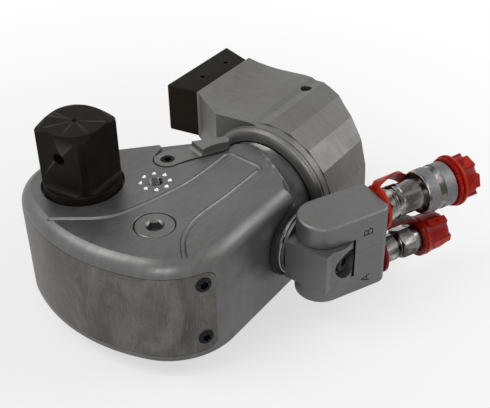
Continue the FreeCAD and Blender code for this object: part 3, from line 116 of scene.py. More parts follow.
def lathe(name, profile, place, axis="X", steps=96, closed=True):
    """A profile of along and radius turned round an axis."""
    points, rings = [], []
    for along, radius in profile:
        if radius < 1e-6:
            rings.append([len(points)])
            points.append(on_axis(along, 0, 0, axis))
            continue
        rings.append(list(range(len(points), len(points) + steps)))
        for i in range(steps):
            angle = 2 * math.pi * i / steps
            points.append(on_axis(along, radius * math.cos(angle), radius * math.sin(angle), axis))
    faces = []
    last = len(rings) if closed and len(rings[0]) > 1 and len(rings[-1]) > 1 else len(rings) - 1
    for k in range(last):
        one, two = rings[k], rings[(k + 1) % len(rings)]
        for i in range(steps):
            j = (i + 1) % steps
            if len(one) > 1 and len(two) > 1:
                faces.append((one[i], one[j], two[j], two[i]))
            elif len(one) > 1:
                faces.append((one[i], one[j], two[0]))
            elif len(two) > 1:
                faces.append((one[0], two[j], two[i]))
    return make(name, points, faces, place)


def on_axis(along, first, second, axis):
    """A point at a distance along an axis and two distances across it."""
    if axis == "X":
        return (along, first, second)
    if axis == "Y":
        return (second, along, first)
    return (first, second, along)


def combine(piece, tool, kind="DIFFERENCE"):
    """Cuts, joins or intersects a piece with a tool, removes the tool and merges doubles."""
    step = piece.modifiers.new("combine", "BOOLEAN")
    step.operation = kind
    step.object = tool
    step.solver = "EXACT"
    step.material_mode = "TRANSFER"
    settle(piece)
    bpy.data.objects.remove(tool)
    work = bmesh.new()
    work.from_mesh(piece.data)
    bmesh.ops.remove_doubles(work, verts=work.verts, dist=1e-6)
    work.to_mesh(piece.data)
    work.free()
    return piece


def cylinder(name, place, radius, low, high, axis="Z", steps=64):
    """A round bar between two heights on an axis."""
    return lathe(name, [(low, 0), (low, radius), (high, radius), (high, 0)], place, axis, steps)


def arc(cx, cy, radius, first, last, steps):
    """Points on an arc between two angles in degrees."""
    points = []
    for i in range(steps + 1):
        angle = math.radians(first + (last - first) * i / steps)
        points.append((cx + radius * math.cos(angle), cy + radius * math.sin(angle)))
    return points


def round_corners(corners, steps=6):
    """A closed outline, each corner is x, y and a rounding radius."""
    outline = []
    for i, (x, y, radius) in enumerate(corners):
        here = Vector((x, y))
        if radius <= 0:
            outline.append((x, y))
            continue
        back = (Vector(corners[i - 1][:2]) - here).normalized()
        ahead = (Vector(corners[(i + 1) % len(corners)][:2]) - here).normalized()
        half = back.angle(ahead) / 2
        reach = radius / math.tan(half)
        centre = here + (back + ahead).normalized() * (radius / math.sin(half))
        one, two = here + back * reach - centre, here + ahead * reach - centre
        for k in range(steps + 1):
            outline.append(tuple(centre + one.slerp(two, k / steps).normalized() * radius))
    return outline


def inset(outline, distance, shares):
    """Moves a closed outline, given anticlockwise, inward by each point's share of a distance."""
    moved = []
    count = len(outline)
    for i in range(count):
        here = Vector(outline[i])
        back = (here - Vector(outline[i - 1])).normalized()
        ahead = (Vector(outline[(i + 1) % count]) - here).normalized()
        normal = (Vector((-back.y, back.x)) + Vector((-ahead.y, ahead.x))).normalized()
        share = max(normal.dot(Vector((-back.y, back.x))), 0.35)
        moved.append(tuple(here + normal * (distance * shares[i] / share)))
    return moved


def rim(radius, first, steps):
    """Inset and drop along a rolled rim that starts at a slope of first degrees."""
    start = math.cos(math.radians(first))
    levels = []
    for k in range(steps + 1):
        slope = math.radians(first + (90 - first) * k / steps)
        levels.append((radius * (1 - math.sin(slope)), radius * (start - math.cos(slope))))
    return levels


def rounded_block(name, outline, low, high, top_round, low_round, place=ORIGIN, steps=8,
                  top_slope=0, shares=None):
    """A prism whose upper and lower rims are rolled over with a radius.

    The shares say how much of the roll each point of the outline takes.
    """
    shares = shares or [1] * len(outline)
    layers = [(low + drop, distance) for distance, drop in rim(low_round, 0, steps)]
    layers += [(high - drop, distance) for distance, drop in reversed(rim(top_round, top_slope, steps))]
    points, count = [], len(outline)
    for height, distance in layers:
        points += [(x, y, height) for x, y in inset(outline, distance, shares)]
    faces = [tuple(reversed(range(count)))]
    for k in range(len(layers) - 1):
        for i in range(count):
            j = (i + 1) % count
            faces.append((k * count + i, k * count + j, (k + 1) * count + j, (k + 1) * count + i))
    top = (len(layers) - 1) * count
    faces.append(tuple(range(top, top + count)))
    return make(name, points, faces, place)


def soften(piece, width, segments=3, angle=32):
    """Rounds the sharp edges of a piece by a width in millimetres."""
    step = piece.modifiers.new("soften", "BEVEL")
    step.width = width * MM
    step.segments = segments
    step.limit_method = "ANGLE"
    step.angle_limit = math.radians(angle)
    step.use_clamp_overlap = True
    return settle(piece)


def shade(piece, angle=34):
    """Smooth shading that keeps the flats flat and the sharp edges sharp."""
    work = bmesh.new()
    work.from_mesh(piece.data)
    bmesh.ops.remove_doubles(work, verts=work.verts, dist=2e-7)
    bmesh.ops.dissolve_degenerate(work, edges=work.edges, dist=1e-7)
    for face in work.faces:
        face.smooth = True
    for edge in work.edges:
        flat = len(edge.link_faces) != 2 or edge.calc_face_angle(0) > math.radians(angle)
        edge.smooth = not flat
    work.to_mesh(piece.data)
    work.free()
    step = piece.modifiers.new("even", "WEIGHTED_NORMAL")
    step.keep_sharp = True
    step.weight = 80
    return settle(piece)


def fit(piece, body, slot, finish, *nodes, angle=34):
    """Gives a finished piece its look and its place in the moving model."""
    shade(piece, angle)
    if finish is not None:
        piece.data.materials.clear()
        piece.data.materials.append(finish)
    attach(piece, body)
    if nodes:
        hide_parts(*nodes)
    return piece


class Finish:
    """Builds the nodes of one material."""

    def __init__(self, name):
        self.material = bpy.data.materials.new(name)
        self.material.use_nodes = True
        self.tree = self.material.node_tree
        self.shader = self.tree.nodes["Principled BSDF"]
        self.coordinates = self.tree.nodes.new("ShaderNodeTexCoord").outputs["Object"]

    def add(self, kind, **values):
        node = self.tree.nodes.new(kind)
        for key, value in values.items():
            setattr(node, key, value)
        return node

    def link(self, source, target):
        self.tree.links.new(source, target)

    def scaled(self, scale, rotation=(0, 0, 0)):
        mapping = self.add("ShaderNodeMapping")
        mapping.inputs["Scale"].default_value = scale
        mapping.inputs["Rotation"].default_value = rotation
        self.link(self.coordinates, mapping.inputs["Vector"])
        return mapping.outputs["Vector"]

    def noise(self, scale, detail=4.0, rough=0.55, vector=None, distortion=0.0):
        node = self.add("ShaderNodeTexNoise")
        node.inputs["Scale"].default_value = scale
        node.inputs["Detail"].default_value = detail
        node.inputs["Roughness"].default_value = rough
        node.inputs["Distortion"].default_value = distortion
        self.link(vector or self.coordinates, node.inputs["Vector"])
        return node.outputs["Fac"]

    def ramp(self, source, stops):
        node = self.add("ShaderNodeValToRGB")
        ramp = node.color_ramp
        ramp.elements[0].position, ramp.elements[0].color = stops[0][0], (*stops[0][1], 1)
        ramp.elements[1].position, ramp.elements[1].color = stops[-1][0], (*stops[-1][1], 1)
        for position, colour in stops[1:-1]:
            ramp.elements.new(position).color = (*colour, 1)
        self.link(source, node.inputs["Fac"])
        return node.outputs["Color"]

    def span(self, source, low, high, to_low, to_high):
        node = self.add("ShaderNodeMapRange")
        for name, value in (("From Min", low), ("From Max", high),
                            ("To Min", to_low), ("To Max", to_high)):
            node.inputs[name].default_value = value
        self.link(source, node.inputs["Value"])
        return node.outputs["Result"]

    def blend(self, share, one, two, kind="MIX"):
        node = self.add("ShaderNodeMix", data_type="RGBA", blend_type=kind)
        self.link(share, node.inputs["Factor"])
        for value, socket in ((one, node.inputs["A"]), (two, node.inputs["B"])):
            if isinstance(value, tuple):
                socket.default_value = (*value, 1)
            else:
                self.link(value, socket)
        return node.outputs["Result"]

    def bump(self, source, strength, distance=0.0002, base=None):
        node = self.add("ShaderNodeBump")
        node.inputs["Strength"].default_value = strength
        node.inputs["Distance"].default_value = distance
        self.link(source, node.inputs["Height"])
        if base is not None:
            self.link(base, node.inputs["Normal"])
        self.link(node.outputs["Normal"], self.shader.inputs["Normal"])
        return node.outputs["Normal"]

    def colour(self, source):
        self.link(source, self.shader.inputs["Base Color"])

    def roughness(self, source):
        self.link(source, self.shader.inputs["Roughness"])

    def metal(self, amount):
        self.shader.inputs["Metallic"].default_value = amount


def grey(level, warm=0.0):
    """A grey, a little warmer or cooler."""
    return (level * (1 + warm), level, level * (1 - warm))


def alloy_finish(name, dark, light, rough, grain_scale, grain=0.25, warm=0.02, speck=0.0, metal=0.8):
    """Machined or blasted light metal with cloudy tone, grain and fine scratches."""
    f = Finish(name)
    clouds = f.noise(14, 6, 0.62, distortion=0.4)
    tone = f.ramp(clouds, [(0.3, grey(dark, warm)), (0.7, grey(light, warm * 0.5))])
    fine = f.noise(1.0, 3, 0.6, f.scaled(grain_scale))
    tone = f.blend(f.span(fine, 0.3, 0.7, 0, 0.35), tone, grey(light * 1.25, warm * 0.4))
    marks = f.noise(1.0, 2, 0.5, f.scaled((90, 2600, 400), (0.2, 0.1, 0.7)))
    scratches = f.span(marks, 0.70, 0.76, 0, 0.35)
    tone = f.blend(scratches, tone, grey(light * 1.5))
    if speck:
        dirt = f.span(f.noise(160, 5, 0.7), 0.60, 0.72, 0, speck)
        tone = f.blend(dirt, tone, (0.05, 0.042, 0.032))
    f.colour(tone)
    f.roughness(f.span(f.noise(60, 5, 0.65), 0.3, 0.7, rough - 0.07, rough + 0.10))
    grit = f.bump(f.noise(2600, 2, 0.6), 0.16, 0.00008)
    f.bump(fine, grain, 0.00012, grit)
    f.shader.inputs["Specular IOR Level"].default_value = 0.25
    f.metal(metal)
    return f.material


def shroud_finish():
    """Sheet steel with brown and grey stains, drip marks and scuffs."""
    f = Finish("stained_sheet_steel")
    clouds = f.noise(26, 8, 0.68, f.scaled((1, 1, 0.55)), 1.2)
    tone = f.ramp(clouds, [(0.28, (0.050, 0.047, 0.043)), (0.46, (0.088, 0.084, 0.078)),
                           (0.56, (0.125, 0.121, 0.113)), (0.74, (0.20, 0.195, 0.185))])
    stain = f.span(f.noise(70, 7, 0.72, f.scaled((1, 1, 0.8)), 0.8), 0.52, 0.68, 0, 0.5)
    tone = f.blend(stain, tone, (0.070, 0.056, 0.042))
    spots = f.span(f.noise(420, 4, 0.6), 0.62, 0.70, 0, 0.6)
    tone = f.blend(spots, tone, (0.030, 0.027, 0.024))
    marks = f.noise(1.0, 2, 0.5, f.scaled((1900, 1900, 90), (0.05, 0.05, 0)))
    tone = f.blend(f.span(marks, 0.60, 0.74, 0, 0.35), tone, grey(0.26))
    f.colour(tone)
    f.roughness(f.span(clouds, 0.3, 0.7, 0.34, 0.56))
    f.bump(f.noise(900, 4, 0.65), 0.14, 0.0001)
    f.metal(0.7)
    return f.material


def black_finish(name, dark, light, rough, warm=0.0, edge=0.10):
    """Black oxide with rubbed edges and faint grey scuffs."""
    f = Finish(name)
    clouds = f.noise(45, 6, 0.65, distortion=0.5)
    tone = f.ramp(clouds, [(0.3, grey(dark, warm)), (0.7, grey(light, warm))])
    edges = f.add("ShaderNodeNewGeometry").outputs["Pointiness"]
    tone = f.blend(f.span(edges, 0.53, 0.62, 0, 0.5), tone, grey(edge, warm))
    marks = f.noise(1.0, 3, 0.6, f.scaled((300, 2400, 500), (0.4, 0.2, 0.5)))
    tone = f.blend(f.span(marks, 0.72, 0.80, 0, 0.35), tone, grey(edge * 0.7))
    f.colour(tone)
    f.roughness(f.span(f.noise(120, 5, 0.6), 0.3, 0.7, rough - 0.08, rough + 0.12))
    f.bump(f.noise(1500, 3, 0.6), 0.14, 0.0001)
    f.shader.inputs["Specular IOR Level"].default_value = 0.04
    f.metal(0.0)
    return f.material


def bright_finish(name, level, rough, lines, axis_scale, warm=0.02, turned=(0, 0, 0), painted_reflection_scale=None):
    """Turned and plated steel with fine turning marks and painted dark and light reflection streaks."""
    f = Finish(name)
    clouds = f.noise(50, 5, 0.6)
    tone = f.ramp(clouds, [(0.3, grey(level * 0.8, warm)), (0.7, grey(level, warm))])
    rings = f.noise(1.0, 2, 0.5, f.scaled(axis_scale, turned))
    tone = f.blend(f.span(rings, 0.35, 0.65, 0, 0.4), tone, grey(level * 0.7, warm))
    if painted_reflection_scale:
        # Painted reflections: dark and light streaks along the axis stand in for the mirrored surroundings.
        painted_reflection_streaks = f.noise(1.0, 2, 0.45, f.scaled(painted_reflection_scale, turned), 0.15)
        tone = f.blend(f.span(painted_reflection_streaks, 0.40, 0.52, 0.85, 0), tone, (0.040, 0.037, 0.032))
        tone = f.blend(f.span(painted_reflection_streaks, 0.56, 0.66, 0, 0.8), tone, grey(level * 2.2, warm * 0.5))
    f.colour(tone)
    f.roughness(f.span(f.noise(200, 4, 0.6), 0.3, 0.7, rough - 0.05, rough + 0.08))
    f.bump(rings, lines, 0.00006)
    f.metal(1.0)
    return f.material


def frosted_finish():
    """Blasted or knurled plated steel, rough and sparkling."""
    f = Finish("frosted_plated_steel")
    spark = f.noise(2400, 2, 0.6)
    tone = f.ramp(spark, [(0.35, grey(0.08)), (0.65, grey(0.22))])
    f.colour(tone)
    f.roughness(f.span(spark, 0.3, 0.7, 0.55, 0.35))
    f.bump(spark, 0.55, 0.00015)
    f.metal(1.0)
    return f.material


def red_finish(name, deep, bright, painted_edge_highlight_tone, rough):
    """Moulded red rubber, glossy, with a painted orange highlight along its edges, and dirt."""
    f = Finish(name)
    clouds = f.noise(90, 5, 0.6)
    tone = f.ramp(clouds, [(0.3, deep), (0.7, bright)])
    # Painted highlight: the edges are lifted to orange to stand in for the glint along them.
    edges = f.add("ShaderNodeNewGeometry").outputs["Pointiness"]
    tone = f.blend(f.span(edges, 0.51, 0.58, 0, 0.8), tone, painted_edge_highlight_tone)
    dirt = f.span(f.noise(260, 5, 0.7), 0.62, 0.74, 0, 0.35)
    tone = f.blend(dirt, tone, (0.07, 0.006, 0.005))
    f.colour(tone)
    f.roughness(f.span(f.noise(150, 4, 0.6), 0.3, 0.7, rough - 0.07, rough + 0.09))
    f.bump(f.noise(500, 3, 0.6), 0.12, 0.00015)
    f.shader.inputs["Specular IOR Level"].default_value = 0.12
    return f.material


def rubber_finish():
    f = Finish("black_seal_rubber")
    f.colour(f.ramp(f.noise(200), [(0.3, (0.008, 0.008, 0.008)), (0.7, (0.02, 0.02, 0.02))]))
    f.roughness(f.span(f.noise(400), 0.3, 0.7, 0.5, 0.7))
    f.bump(f.noise(900), 0.1, 0.0001)
    return f.material


def bronze_finish():
    f = Finish("bearing_bronze")
    f.colour(f.ramp(f.noise(120), [(0.3, (0.35, 0.21, 0.08)), (0.7, (0.55, 0.36, 0.15))]))
    f.roughness(f.span(f.noise(300), 0.3, 0.7, 0.28, 0.42))
    f.bump(f.noise(1.0, 2, 0.5, f.scaled((200, 200, 5000))), 0.15, 0.0001)
    f.metal(1.0)
    return f.material


def letter_finish():
    f = Finish("engraved_shadow")
    f.colour(f.ramp(f.noise(500), [(0.3, (0.020, 0.019, 0.018)), (0.7, (0.05, 0.047, 0.044))]))
    f.roughness(f.span(f.noise(800), 0.3, 0.7, 0.55, 0.7))
    f.bump(f.noise(1500), 0.1, 0.0001)
    f.metal(0.4)
    return f.material


housing_metal = alloy_finish("housing_alloy", 0.095, 0.15, 0.38, (60, 420, 60), 0.05, 0.012, 0.10)
groove_metal = alloy_finish("milled_groove_alloy", 0.10, 0.17, 0.34, (200, 200, 200), 0.04, 0.0, metal=0.9)
# Polished alloy for the dimples; its much lighter colour is also a painted highlight for their bright
# spots.
dimple_polish_and_highlight_metal = alloy_finish("dimple_polish_and_highlight_alloy", 0.45, 0.65, 0.16, (200, 200, 200), 0.04, 0.0, metal=1.0)
thread_metal = alloy_finish("cut_thread_alloy", 0.05, 0.12, 0.24, (300, 300, 300), 0.04, 0.0, metal=0.9)
arm_metal = alloy_finish("arm_alloy", 0.10, 0.155, 0.40, (420, 60, 60), 0.06, 0.03, 0.12)
yoke_metal = alloy_finish("yoke_blasted_steel", 0.115, 0.155, 0.42, (900, 900, 900), 0.08, 0.012)
lever_metal = alloy_finish("lever_cast_steel", 0.12, 0.17, 0.42, (700, 700, 700), 0.12, 0.02)
plug_metal = alloy_finish("plug_turned_steel", 0.10, 0.155, 0.30, (500, 500, 200), 0.08, 0.02, metal=0.8)
disc_metal = alloy_finish("disc_plated_steel", 0.20, 0.30, 0.28, (500, 500, 200), 0.08, 0.01, metal=1.0)
shroud_metal = shroud_finish()
black_metal = black_finish("black_oxide_steel", 0.004, 0.009, 0.30)
drive_black = black_finish("drive_black_oxide", 0.005, 0.011, 0.36, 0.14, 0.07)
pad_black = black_finish("pad_brown_black", 0.005, 0.010, 0.40, 0.25, 0.06)
bright_metal = bright_finish("bright_plated_steel", 0.20, 0.20, 0.08, (2500, 30, 30), 0.05,
                             (0, 0, math.radians(-YOKE_ANGLE)), (14, 150, 150))
steel_metal = bright_finish("ground_tool_steel", 0.26, 0.30, 0.12, (400, 400, 1800))
frosted_metal = frosted_finish()
red_rubber = red_finish("red_rubber", (0.16, 0.0015, 0.0015), (0.30, 0.004, 0.003),
                        (0.50, 0.030, 0.008), 0.32)
# A darker copy of the red rubber with painted shade, for the strap that lies in shadow.
shaded_red_rubber = red_finish("shaded_red_rubber", (0.05, 0.001, 0.0015), (0.12, 0.002, 0.002),
                             (0.22, 0.010, 0.006), 0.20)
seal_rubber = rubber_finish()
bronze = bronze_finish()
letter_dark = letter_finish()

SLOT_FINISH = {
    "housing_alloy": housing_metal, "shroud_steel": shroud_metal, "arm_alloy": arm_metal,
    "black_steel": black_metal, "tool_steel": steel_metal, "bright_steel": yoke_metal,
    "plated_steel": bright_metal, "bearing_bronze": bronze, "seal_rubber": seal_rubber,
    "red_rubber": red_rubber,
}


def copies_tree():
    """Geometry nodes that put a shape at every point, turned to its facing."""
    tree = bpy.data.node_groups.new("copies_at_points", "GeometryNodeTree")
    face = tree.interface
    face.new_socket("Points", in_out="INPUT", socket_type="NodeSocketGeometry")
    face.new_socket("Shape", in_out="INPUT", socket_type="NodeSocketObject")
    size = face.new_socket("Size", in_out="INPUT", socket_type="NodeSocketFloat")
    size.default_value = 1.0
    face.new_socket("Finish", in_out="INPUT", socket_type="NodeSocketMaterial")
    face.new_socket("Result", in_out="OUTPUT", socket_type="NodeSocketGeometry")
    nodes, link = tree.nodes, tree.links.new
    start, end = nodes.new("NodeGroupInput"), nodes.new("NodeGroupOutput")
    shape = nodes.new("GeometryNodeObjectInfo")
    shape.inputs["As Instance"].default_value = False
    facing = nodes.new("GeometryNodeInputNamedAttribute")
    facing.data_type = "FLOAT_VECTOR"
    facing.inputs["Name"].default_value = "facing"
    align = nodes.new("FunctionNodeAlignEulerToVector")
    align.axis = "Z"
    place = nodes.new("GeometryNodeInstanceOnPoints")
    whole = nodes.new("GeometryNodeRealizeInstances")
    paint = nodes.new("GeometryNodeSetMaterial")
    link(start.outputs["Shape"], shape.inputs["Object"])
    link(facing.outputs["Attribute"], align.inputs["Vector"])
    link(start.outputs["Points"], place.inputs["Points"])
    link(shape.outputs["Geometry"], place.inputs["Instance"])
    link(align.outputs["Rotation"], place.inputs["Rotation"])
    link(start.outputs["Size"], place.inputs["Scale"])
    link(place.outputs["Instances"], whole.inputs["Geometry"])
    link(whole.outputs["Geometry"], paint.inputs["Geometry"])
    link(start.outputs["Finish"], paint.inputs["Material"])
    link(paint.outputs["Geometry"], end.inputs["Result"])
    return tree


COPIES = copies_tree()


def copies(name, shape, places, finish, size=1.0):
    """Repeats a shape at places, each a point and a facing, and removes the shape."""
    mesh = bpy.data.meshes.new(name)
    mesh.from_pydata([tuple(Vector(point) * MM) for point, _ in places], [], [])
    facing = mesh.attributes.new("facing", "FLOAT_VECTOR", "POINT")
    for i, (_, way) in enumerate(places):
        facing.data[i].vector = way
    piece = bpy.data.objects.new(name, mesh)
    bpy.context.scene.collection.objects.link(piece)
    step = piece.modifiers.new("copies", "NODES")
    step.node_group = COPIES
    values = {"Shape": shape, "Size": size, "Finish": finish}
    for item in COPIES.interface.items_tree:
        if item.in_out == "INPUT" and item.name in values:
            step[item.identifier] = values[item.name]
    settle(piece)
    bpy.data.objects.remove(shape)
    return piece


# Plan outline of the housing, walked anticlockwise from the slanted wall.
def heading_arc(start, radius, first, last, steps):
    """An arc that leaves a point at one heading and ends at another."""
    centre = (start[0] + radius * math.cos(math.radians(first + 90)),
              start[1] + radius * math.sin(math.radians(first + 90)))
    return arc(*centre, radius, first - 90, last - 90, steps)


nose = arc(0, 0, 40, 46.3, 153.2, 40)
side_start = (nose[-1][0] + 3.9 * math.cos(math.radians(243.2)),
              nose[-1][1] + 3.9 * math.sin(math.radians(243.2)))
side = heading_arc(side_start, 123, 243.2, 290.9, 36)
corner = heading_arc(side[-1], 48.1, 290.9, 360, 30)
shoulder = [(70, -114.8), (76.6, -102.6), (81.6, -91.9), (87.6, -81.4), (92.8, -74.2),
            (98, -68), (97, -60), (88, -50), (88, -28.9)]
plan = nose + side + corner[1:] + shoulder

# The top rim leaves the flat at a slope, so its start shows as a crease.
# It dies out where the neck takes over.
RIM_RADIUS, RIM_SLOPE = 10.64, 20
RIM_SHARES = [1] * (len(plan) - len(shoulder)) + [0.9, 0.15, 0, 0, 0, 0, 0, 0, 0.8]

housing = rounded_block("housing_shell", plan, HOUSING_BOTTOM, 0, RIM_RADIUS, 1.5, steps=12,
                        top_slope=RIM_SLOPE, shares=RIM_SHARES)
housing.data.materials.append(housing_metal)

# The neck flows out of the shoulder in a hollow curve and ends in a proud ring.
EDGE_KEYS = [
    (-90, 95, 37.9), (-60, 92, 39.5), (-35, 87, 42), (0, 87.4, 41.6), (35, 87.4, 45), (55, 88, 44),
    (86, 95, 38.0), (95, 95, 38.0), (105, 92, 39), (117, 86.5, 42.2), (127, 81, 46.5),
    (136, 76.5, 50), (146, 71.5, 50.5), (160, 69.4, 46), (180, 69.3, 43.4), (200, 69.4, 46),
    (214, 71.5, 50.5), (224, 76.5, 50), (233, 81, 46.5), (243, 86.5, 42.2), (255, 92, 39),
    (265, 95, 38.0), (270, 95, 37.9)]


def edge_at(angle):
    """Place along the barrel and radius at which the neck leaves the housing."""
    for (a, x1, r1), (b, x2, r2) in zip(EDGE_KEYS, EDGE_KEYS[1:]):
        if a <= angle <= b:
            share = (angle - a) / (b - a)
            share = share * share * (3 - 2 * share)
            return x1 + (x2 - x1) * share, r1 + (r2 - r1) * share
    return 95, 37.9


NECK_START = (50, 20)
NECK_END = (98.9, 39.6)
NECK_WAIST = 38.9
BARREL_PROFILE = [(99.0, 39.3), (99.0, 37.7), (149.4, 37.7), (150, 37.1)]


def neck_loft():
    """The neck and the barrel in one closed skin round the cylinder axis."""
    steps, layers = 180, 16
    points, faces = [(NECK_START[0], 0, 0)], []
    rows = layers + 1
    total = 1 + rows + len(BARREL_PROFILE)
    for ring in range(total):
        for i in range(steps):
            angle = -90 + 360 * i / steps
            edge_x, edge_radius = edge_at(angle)
            if ring == 0:
                x, radius = NECK_START
            elif ring <= rows:
                share = (ring - 1) / layers
                one = Vector((edge_x - 0.5, edge_radius - 0.6))
                end = Vector(NECK_END)
                two = Vector((one.x + 0.55 * (end.x - one.x), min(one.y, NECK_WAIST)))
                x, radius = one.lerp(two, share).lerp(two.lerp(end, share), share)
            else:
                x, radius = BARREL_PROFILE[ring - rows - 1]
            points.append((x, radius * math.cos(math.radians(angle)),
                           radius * math.sin(math.radians(angle))))
    for i in range(steps):
        j = (i + 1) % steps
        faces.append((0, 1 + j, 1 + i))
        for ring in range(total - 1):
            a, b = 1 + ring * steps, 1 + (ring + 1) * steps
            faces.append((a + i, a + j, b + j, b + i))
    end = len(points)
    points.append((BARREL_PROFILE[-1][0], 0, 0))
    last = 1 + (total - 1) * steps
    for i in range(steps):
        faces.append((last + i, last + (i + 1) % steps, end))
    return make("neck", points, faces, BARREL)


combine(housing, neck_loft(), "UNION")
combine(housing, lathe("boss", [(-115.4, 0), (-115.4, 23.4), (-114.8, 24), (-88, 24), (-88, 0)],
                       POST, "Y", 96), "UNION")


GROOVE_PATH = [
    (-41, -9.4), (-35.8, -16), (-30.9, -23.3), (-22.3, -35.2), (-11.4, -43.4), (9.8, -49.7),
    (24.9, -53.4), (40.7, -56.4), (58, -56.7), (72.5, -56.6), (81, -56.3), (79.9, -65),
    (78.9, -75), (78.4, -84.8), (70, -85), (58, -85), (39, -85), (18.8, -83.6), (9, -83.8),
    (-3, -86.6), (-14, -92.3), (-22.6, -101.6)]
GROOVE_RADIUS, GROOVE_HEIGHT = 1.95, 0.3


def top_groove():
    """The ball nosed groove that frames the cylinder on the top face."""
    curve = bpy.data.curves.new("groove_path", "CURVE")
    curve.dimensions = "3D"
    curve.bevel_depth = GROOVE_RADIUS * MM
    curve.bevel_resolution = 5
    curve.use_fill_caps = True
    curve.resolution_u = 10
    line = curve.splines.new("NURBS")
    line.points.add(len(GROOVE_PATH) - 1)
    for point, (x, y) in zip(line.points, GROOVE_PATH):
        point.co = (x * MM, y * MM, GROOVE_HEIGHT * MM, 1)
    line.order_u = 3
    line.use_endpoint_u = True
    carrier = bpy.data.objects.new("groove", curve)
    bpy.context.scene.collection.objects.link(carrier)
    bpy.context.view_layer.update()
    seen = carrier.evaluated_get(bpy.context.evaluated_depsgraph_get())
    tool = bpy.data.objects.new("groove_tool", bpy.data.meshes.new_from_object(seen))
    bpy.context.scene.collection.objects.link(tool)
    bpy.data.objects.remove(carrier)
    face_outward(tool)
    tool.data.materials.clear()
    tool.data.materials.append(groove_metal)
    return tool


# Release lever outline, shared by the lever and its close fitting recess.
PIVOT_X, PIVOT_Y = 51.4, -27.7
LEVER = (arc(PIVOT_X, PIVOT_Y, 9, 112, 262, 24)
         + [(57, -39.4), (61.8, -41.8), (65.6, -44.4), (68.4, -46.0), (71.6, -47.4), (75.2, -49.0),
            (78.6, -50.8), (82.0, -52.6)]
         + arc(84.6, -49.0, 4.0, 240, 400, 14)
         + [(83.4, -42.6), (79, -39.2), (75, -35.8), (70.9, -32.2), (68.6, -28.6), (65, -25.6),
            (60, -22.2), (54, -19.6)])
RECESS = (arc(PIVOT_X, PIVOT_Y, 9.9, 118, 262, 20)
          + [(57, -40.8), (64.4, -44.7), (72, -49.6), (80, -53.8), (88, -54.4), (104, -52),
             (104, -8), (72, 12), (60.4, -15.1), (52.6, -17.2)])

PLUG = move(-8.5, -67, 0)
HANDLE_X, HANDLE_Y = 26.9, -38
THREAD_START, THREAD_PITCH, THREAD_TURNS = -11, 1.5, 7
THREAD_INNER, THREAD_OUTER = 4.2, 5.0
DIMPLE_COUNT, DIMPLE_RING, DIMPLE_FIRST = 8, 9.26, -45.3

combine(housing, top_groove())
combine(housing, prism("recess", RECESS, -5, 3))
combine(housing, lathe("drive_hole", [(-15, 0), (-15, 26.1), (-0.7, 26.1), (0.3, 27.1), (2, 27.1),
                                      (2, 0)], ORIGIN, "Z", 128))
combine(housing, lathe("low_hole", [(-78, 0), (-78, 27.1), (-75.3, 26.1), (-60, 26.1), (-60, 0)],
                       ORIGIN, "Z", 128))
combine(housing, lathe("plug_hole", [(-11, 0), (-11, 13.05), (-0.4, 13.05), (0.3, 13.6), (2, 13.6),
                                     (2, 0)], PLUG, "Z", 96))
thread = [(-12, 0), (-12, THREAD_INNER)]
for turn_number in range(THREAD_TURNS):
    height = THREAD_START + turn_number * THREAD_PITCH
    thread += [(height, THREAD_INNER), (height + THREAD_PITCH / 2, THREAD_OUTER)]
thread += [(-0.7, THREAD_INNER), (0.3, 5.4), (2, 5.4), (2, 0)]
thread_tool = lathe("handle_hole", thread, move(HANDLE_X, HANDLE_Y, 0), "Z", 64)
thread_tool.data.materials.append(thread_metal)
combine(housing, thread_tool)
dimple = lathe("dimple", [(-1.1, 0), (-0.95, 0.75), (-0.5, 1.35), (0.1, 1.65), (0.7, 1.65), (0.7, 0)],
               ORIGIN, "Z", 24)
dimple_places = []
for i in range(DIMPLE_COUNT):
    way_angle = math.radians(i * 360 / DIMPLE_COUNT + DIMPLE_FIRST)
    dimple_places.append(((HANDLE_X + DIMPLE_RING * math.cos(way_angle),
                           HANDLE_Y + DIMPLE_RING * math.sin(way_angle), 0), (0, 0, 1)))
combine(housing, copies("dimples", dimple, dimple_places, dimple_polish_and_highlight_metal))

# Nose shroud: a band that follows the outline, with rounded corners at its ends.
BACK_LENGTH, BACK_ANGLE = 40.0, 46.3
BAND_END_X = -10.7
CORNER_RADIUS = 8


def band(outer, inner):
    """Closed plan band between two insets of the outline."""
    lines = []
    for distance in (outer, inner):
        start = nose[0]
        back = (start[0] + BACK_LENGTH * math.sin(math.radians(BACK_ANGLE)),
                start[1] - BACK_LENGTH * math.cos(math.radians(BACK_ANGLE)))
        line = [back] + nose + side + corner[1:]
        moved = []
        for i, here in enumerate(line):
            before = Vector(line[max(i - 1, 0)])
            after = Vector(line[min(i + 1, len(line) - 1)])
            ahead = (after - before).normalized()
            moved.append((here[0] - ahead.y * distance, here[1] + ahead.x * distance))
        kept = [p for p in moved if not (p[1] < -80 and p[0] > BAND_END_X)]
        rise = (kept[-1][1] - kept[-2][1]) * (BAND_END_X - kept[-1][0])
        kept.append((BAND_END_X, kept[-1][1] + rise / max(kept[-1][0] - kept[-2][0], 0.01)))
        lines.append(kept)
    return lines[0] + list(reversed(lines[1]))


def end_corners(low, high, reach):
    """Tools that round the corners of the shroud at its end on the flat side."""
    tools = []
    for z, sign in ((high, -1), (low, 1)):
        outline = [(reach + 1, z - sign), (reach + 1, z + sign * CORNER_RADIUS)]
        outline += [(reach, z + sign * CORNER_RADIUS)]
        for k in range(9):
            angle = math.pi / 2 * k / 8
            outline.append((reach - CORNER_RADIUS + CORNER_RADIUS * math.cos(angle),
                            z + sign * (CORNER_RADIUS - CORNER_RADIUS * math.sin(angle))))
        outline += [(reach - CORNER_RADIUS, z - sign)]
        tools.append(prism("end_corner", outline, 70, 130, FROM_SIDE))
    return tools


seat = prism("shroud_seat", band(-4, 2.0), -71.3, -9.9)
shroud = prism("shroud", band(-0.05, 1.8), -71, -10.2)
for tool in end_corners(-71.3, -9.9, -10.3):
    combine(seat, tool)
for tool in end_corners(-71, -10.2, -10.6):
    combine(shroud, tool)
combine(housing, seat)

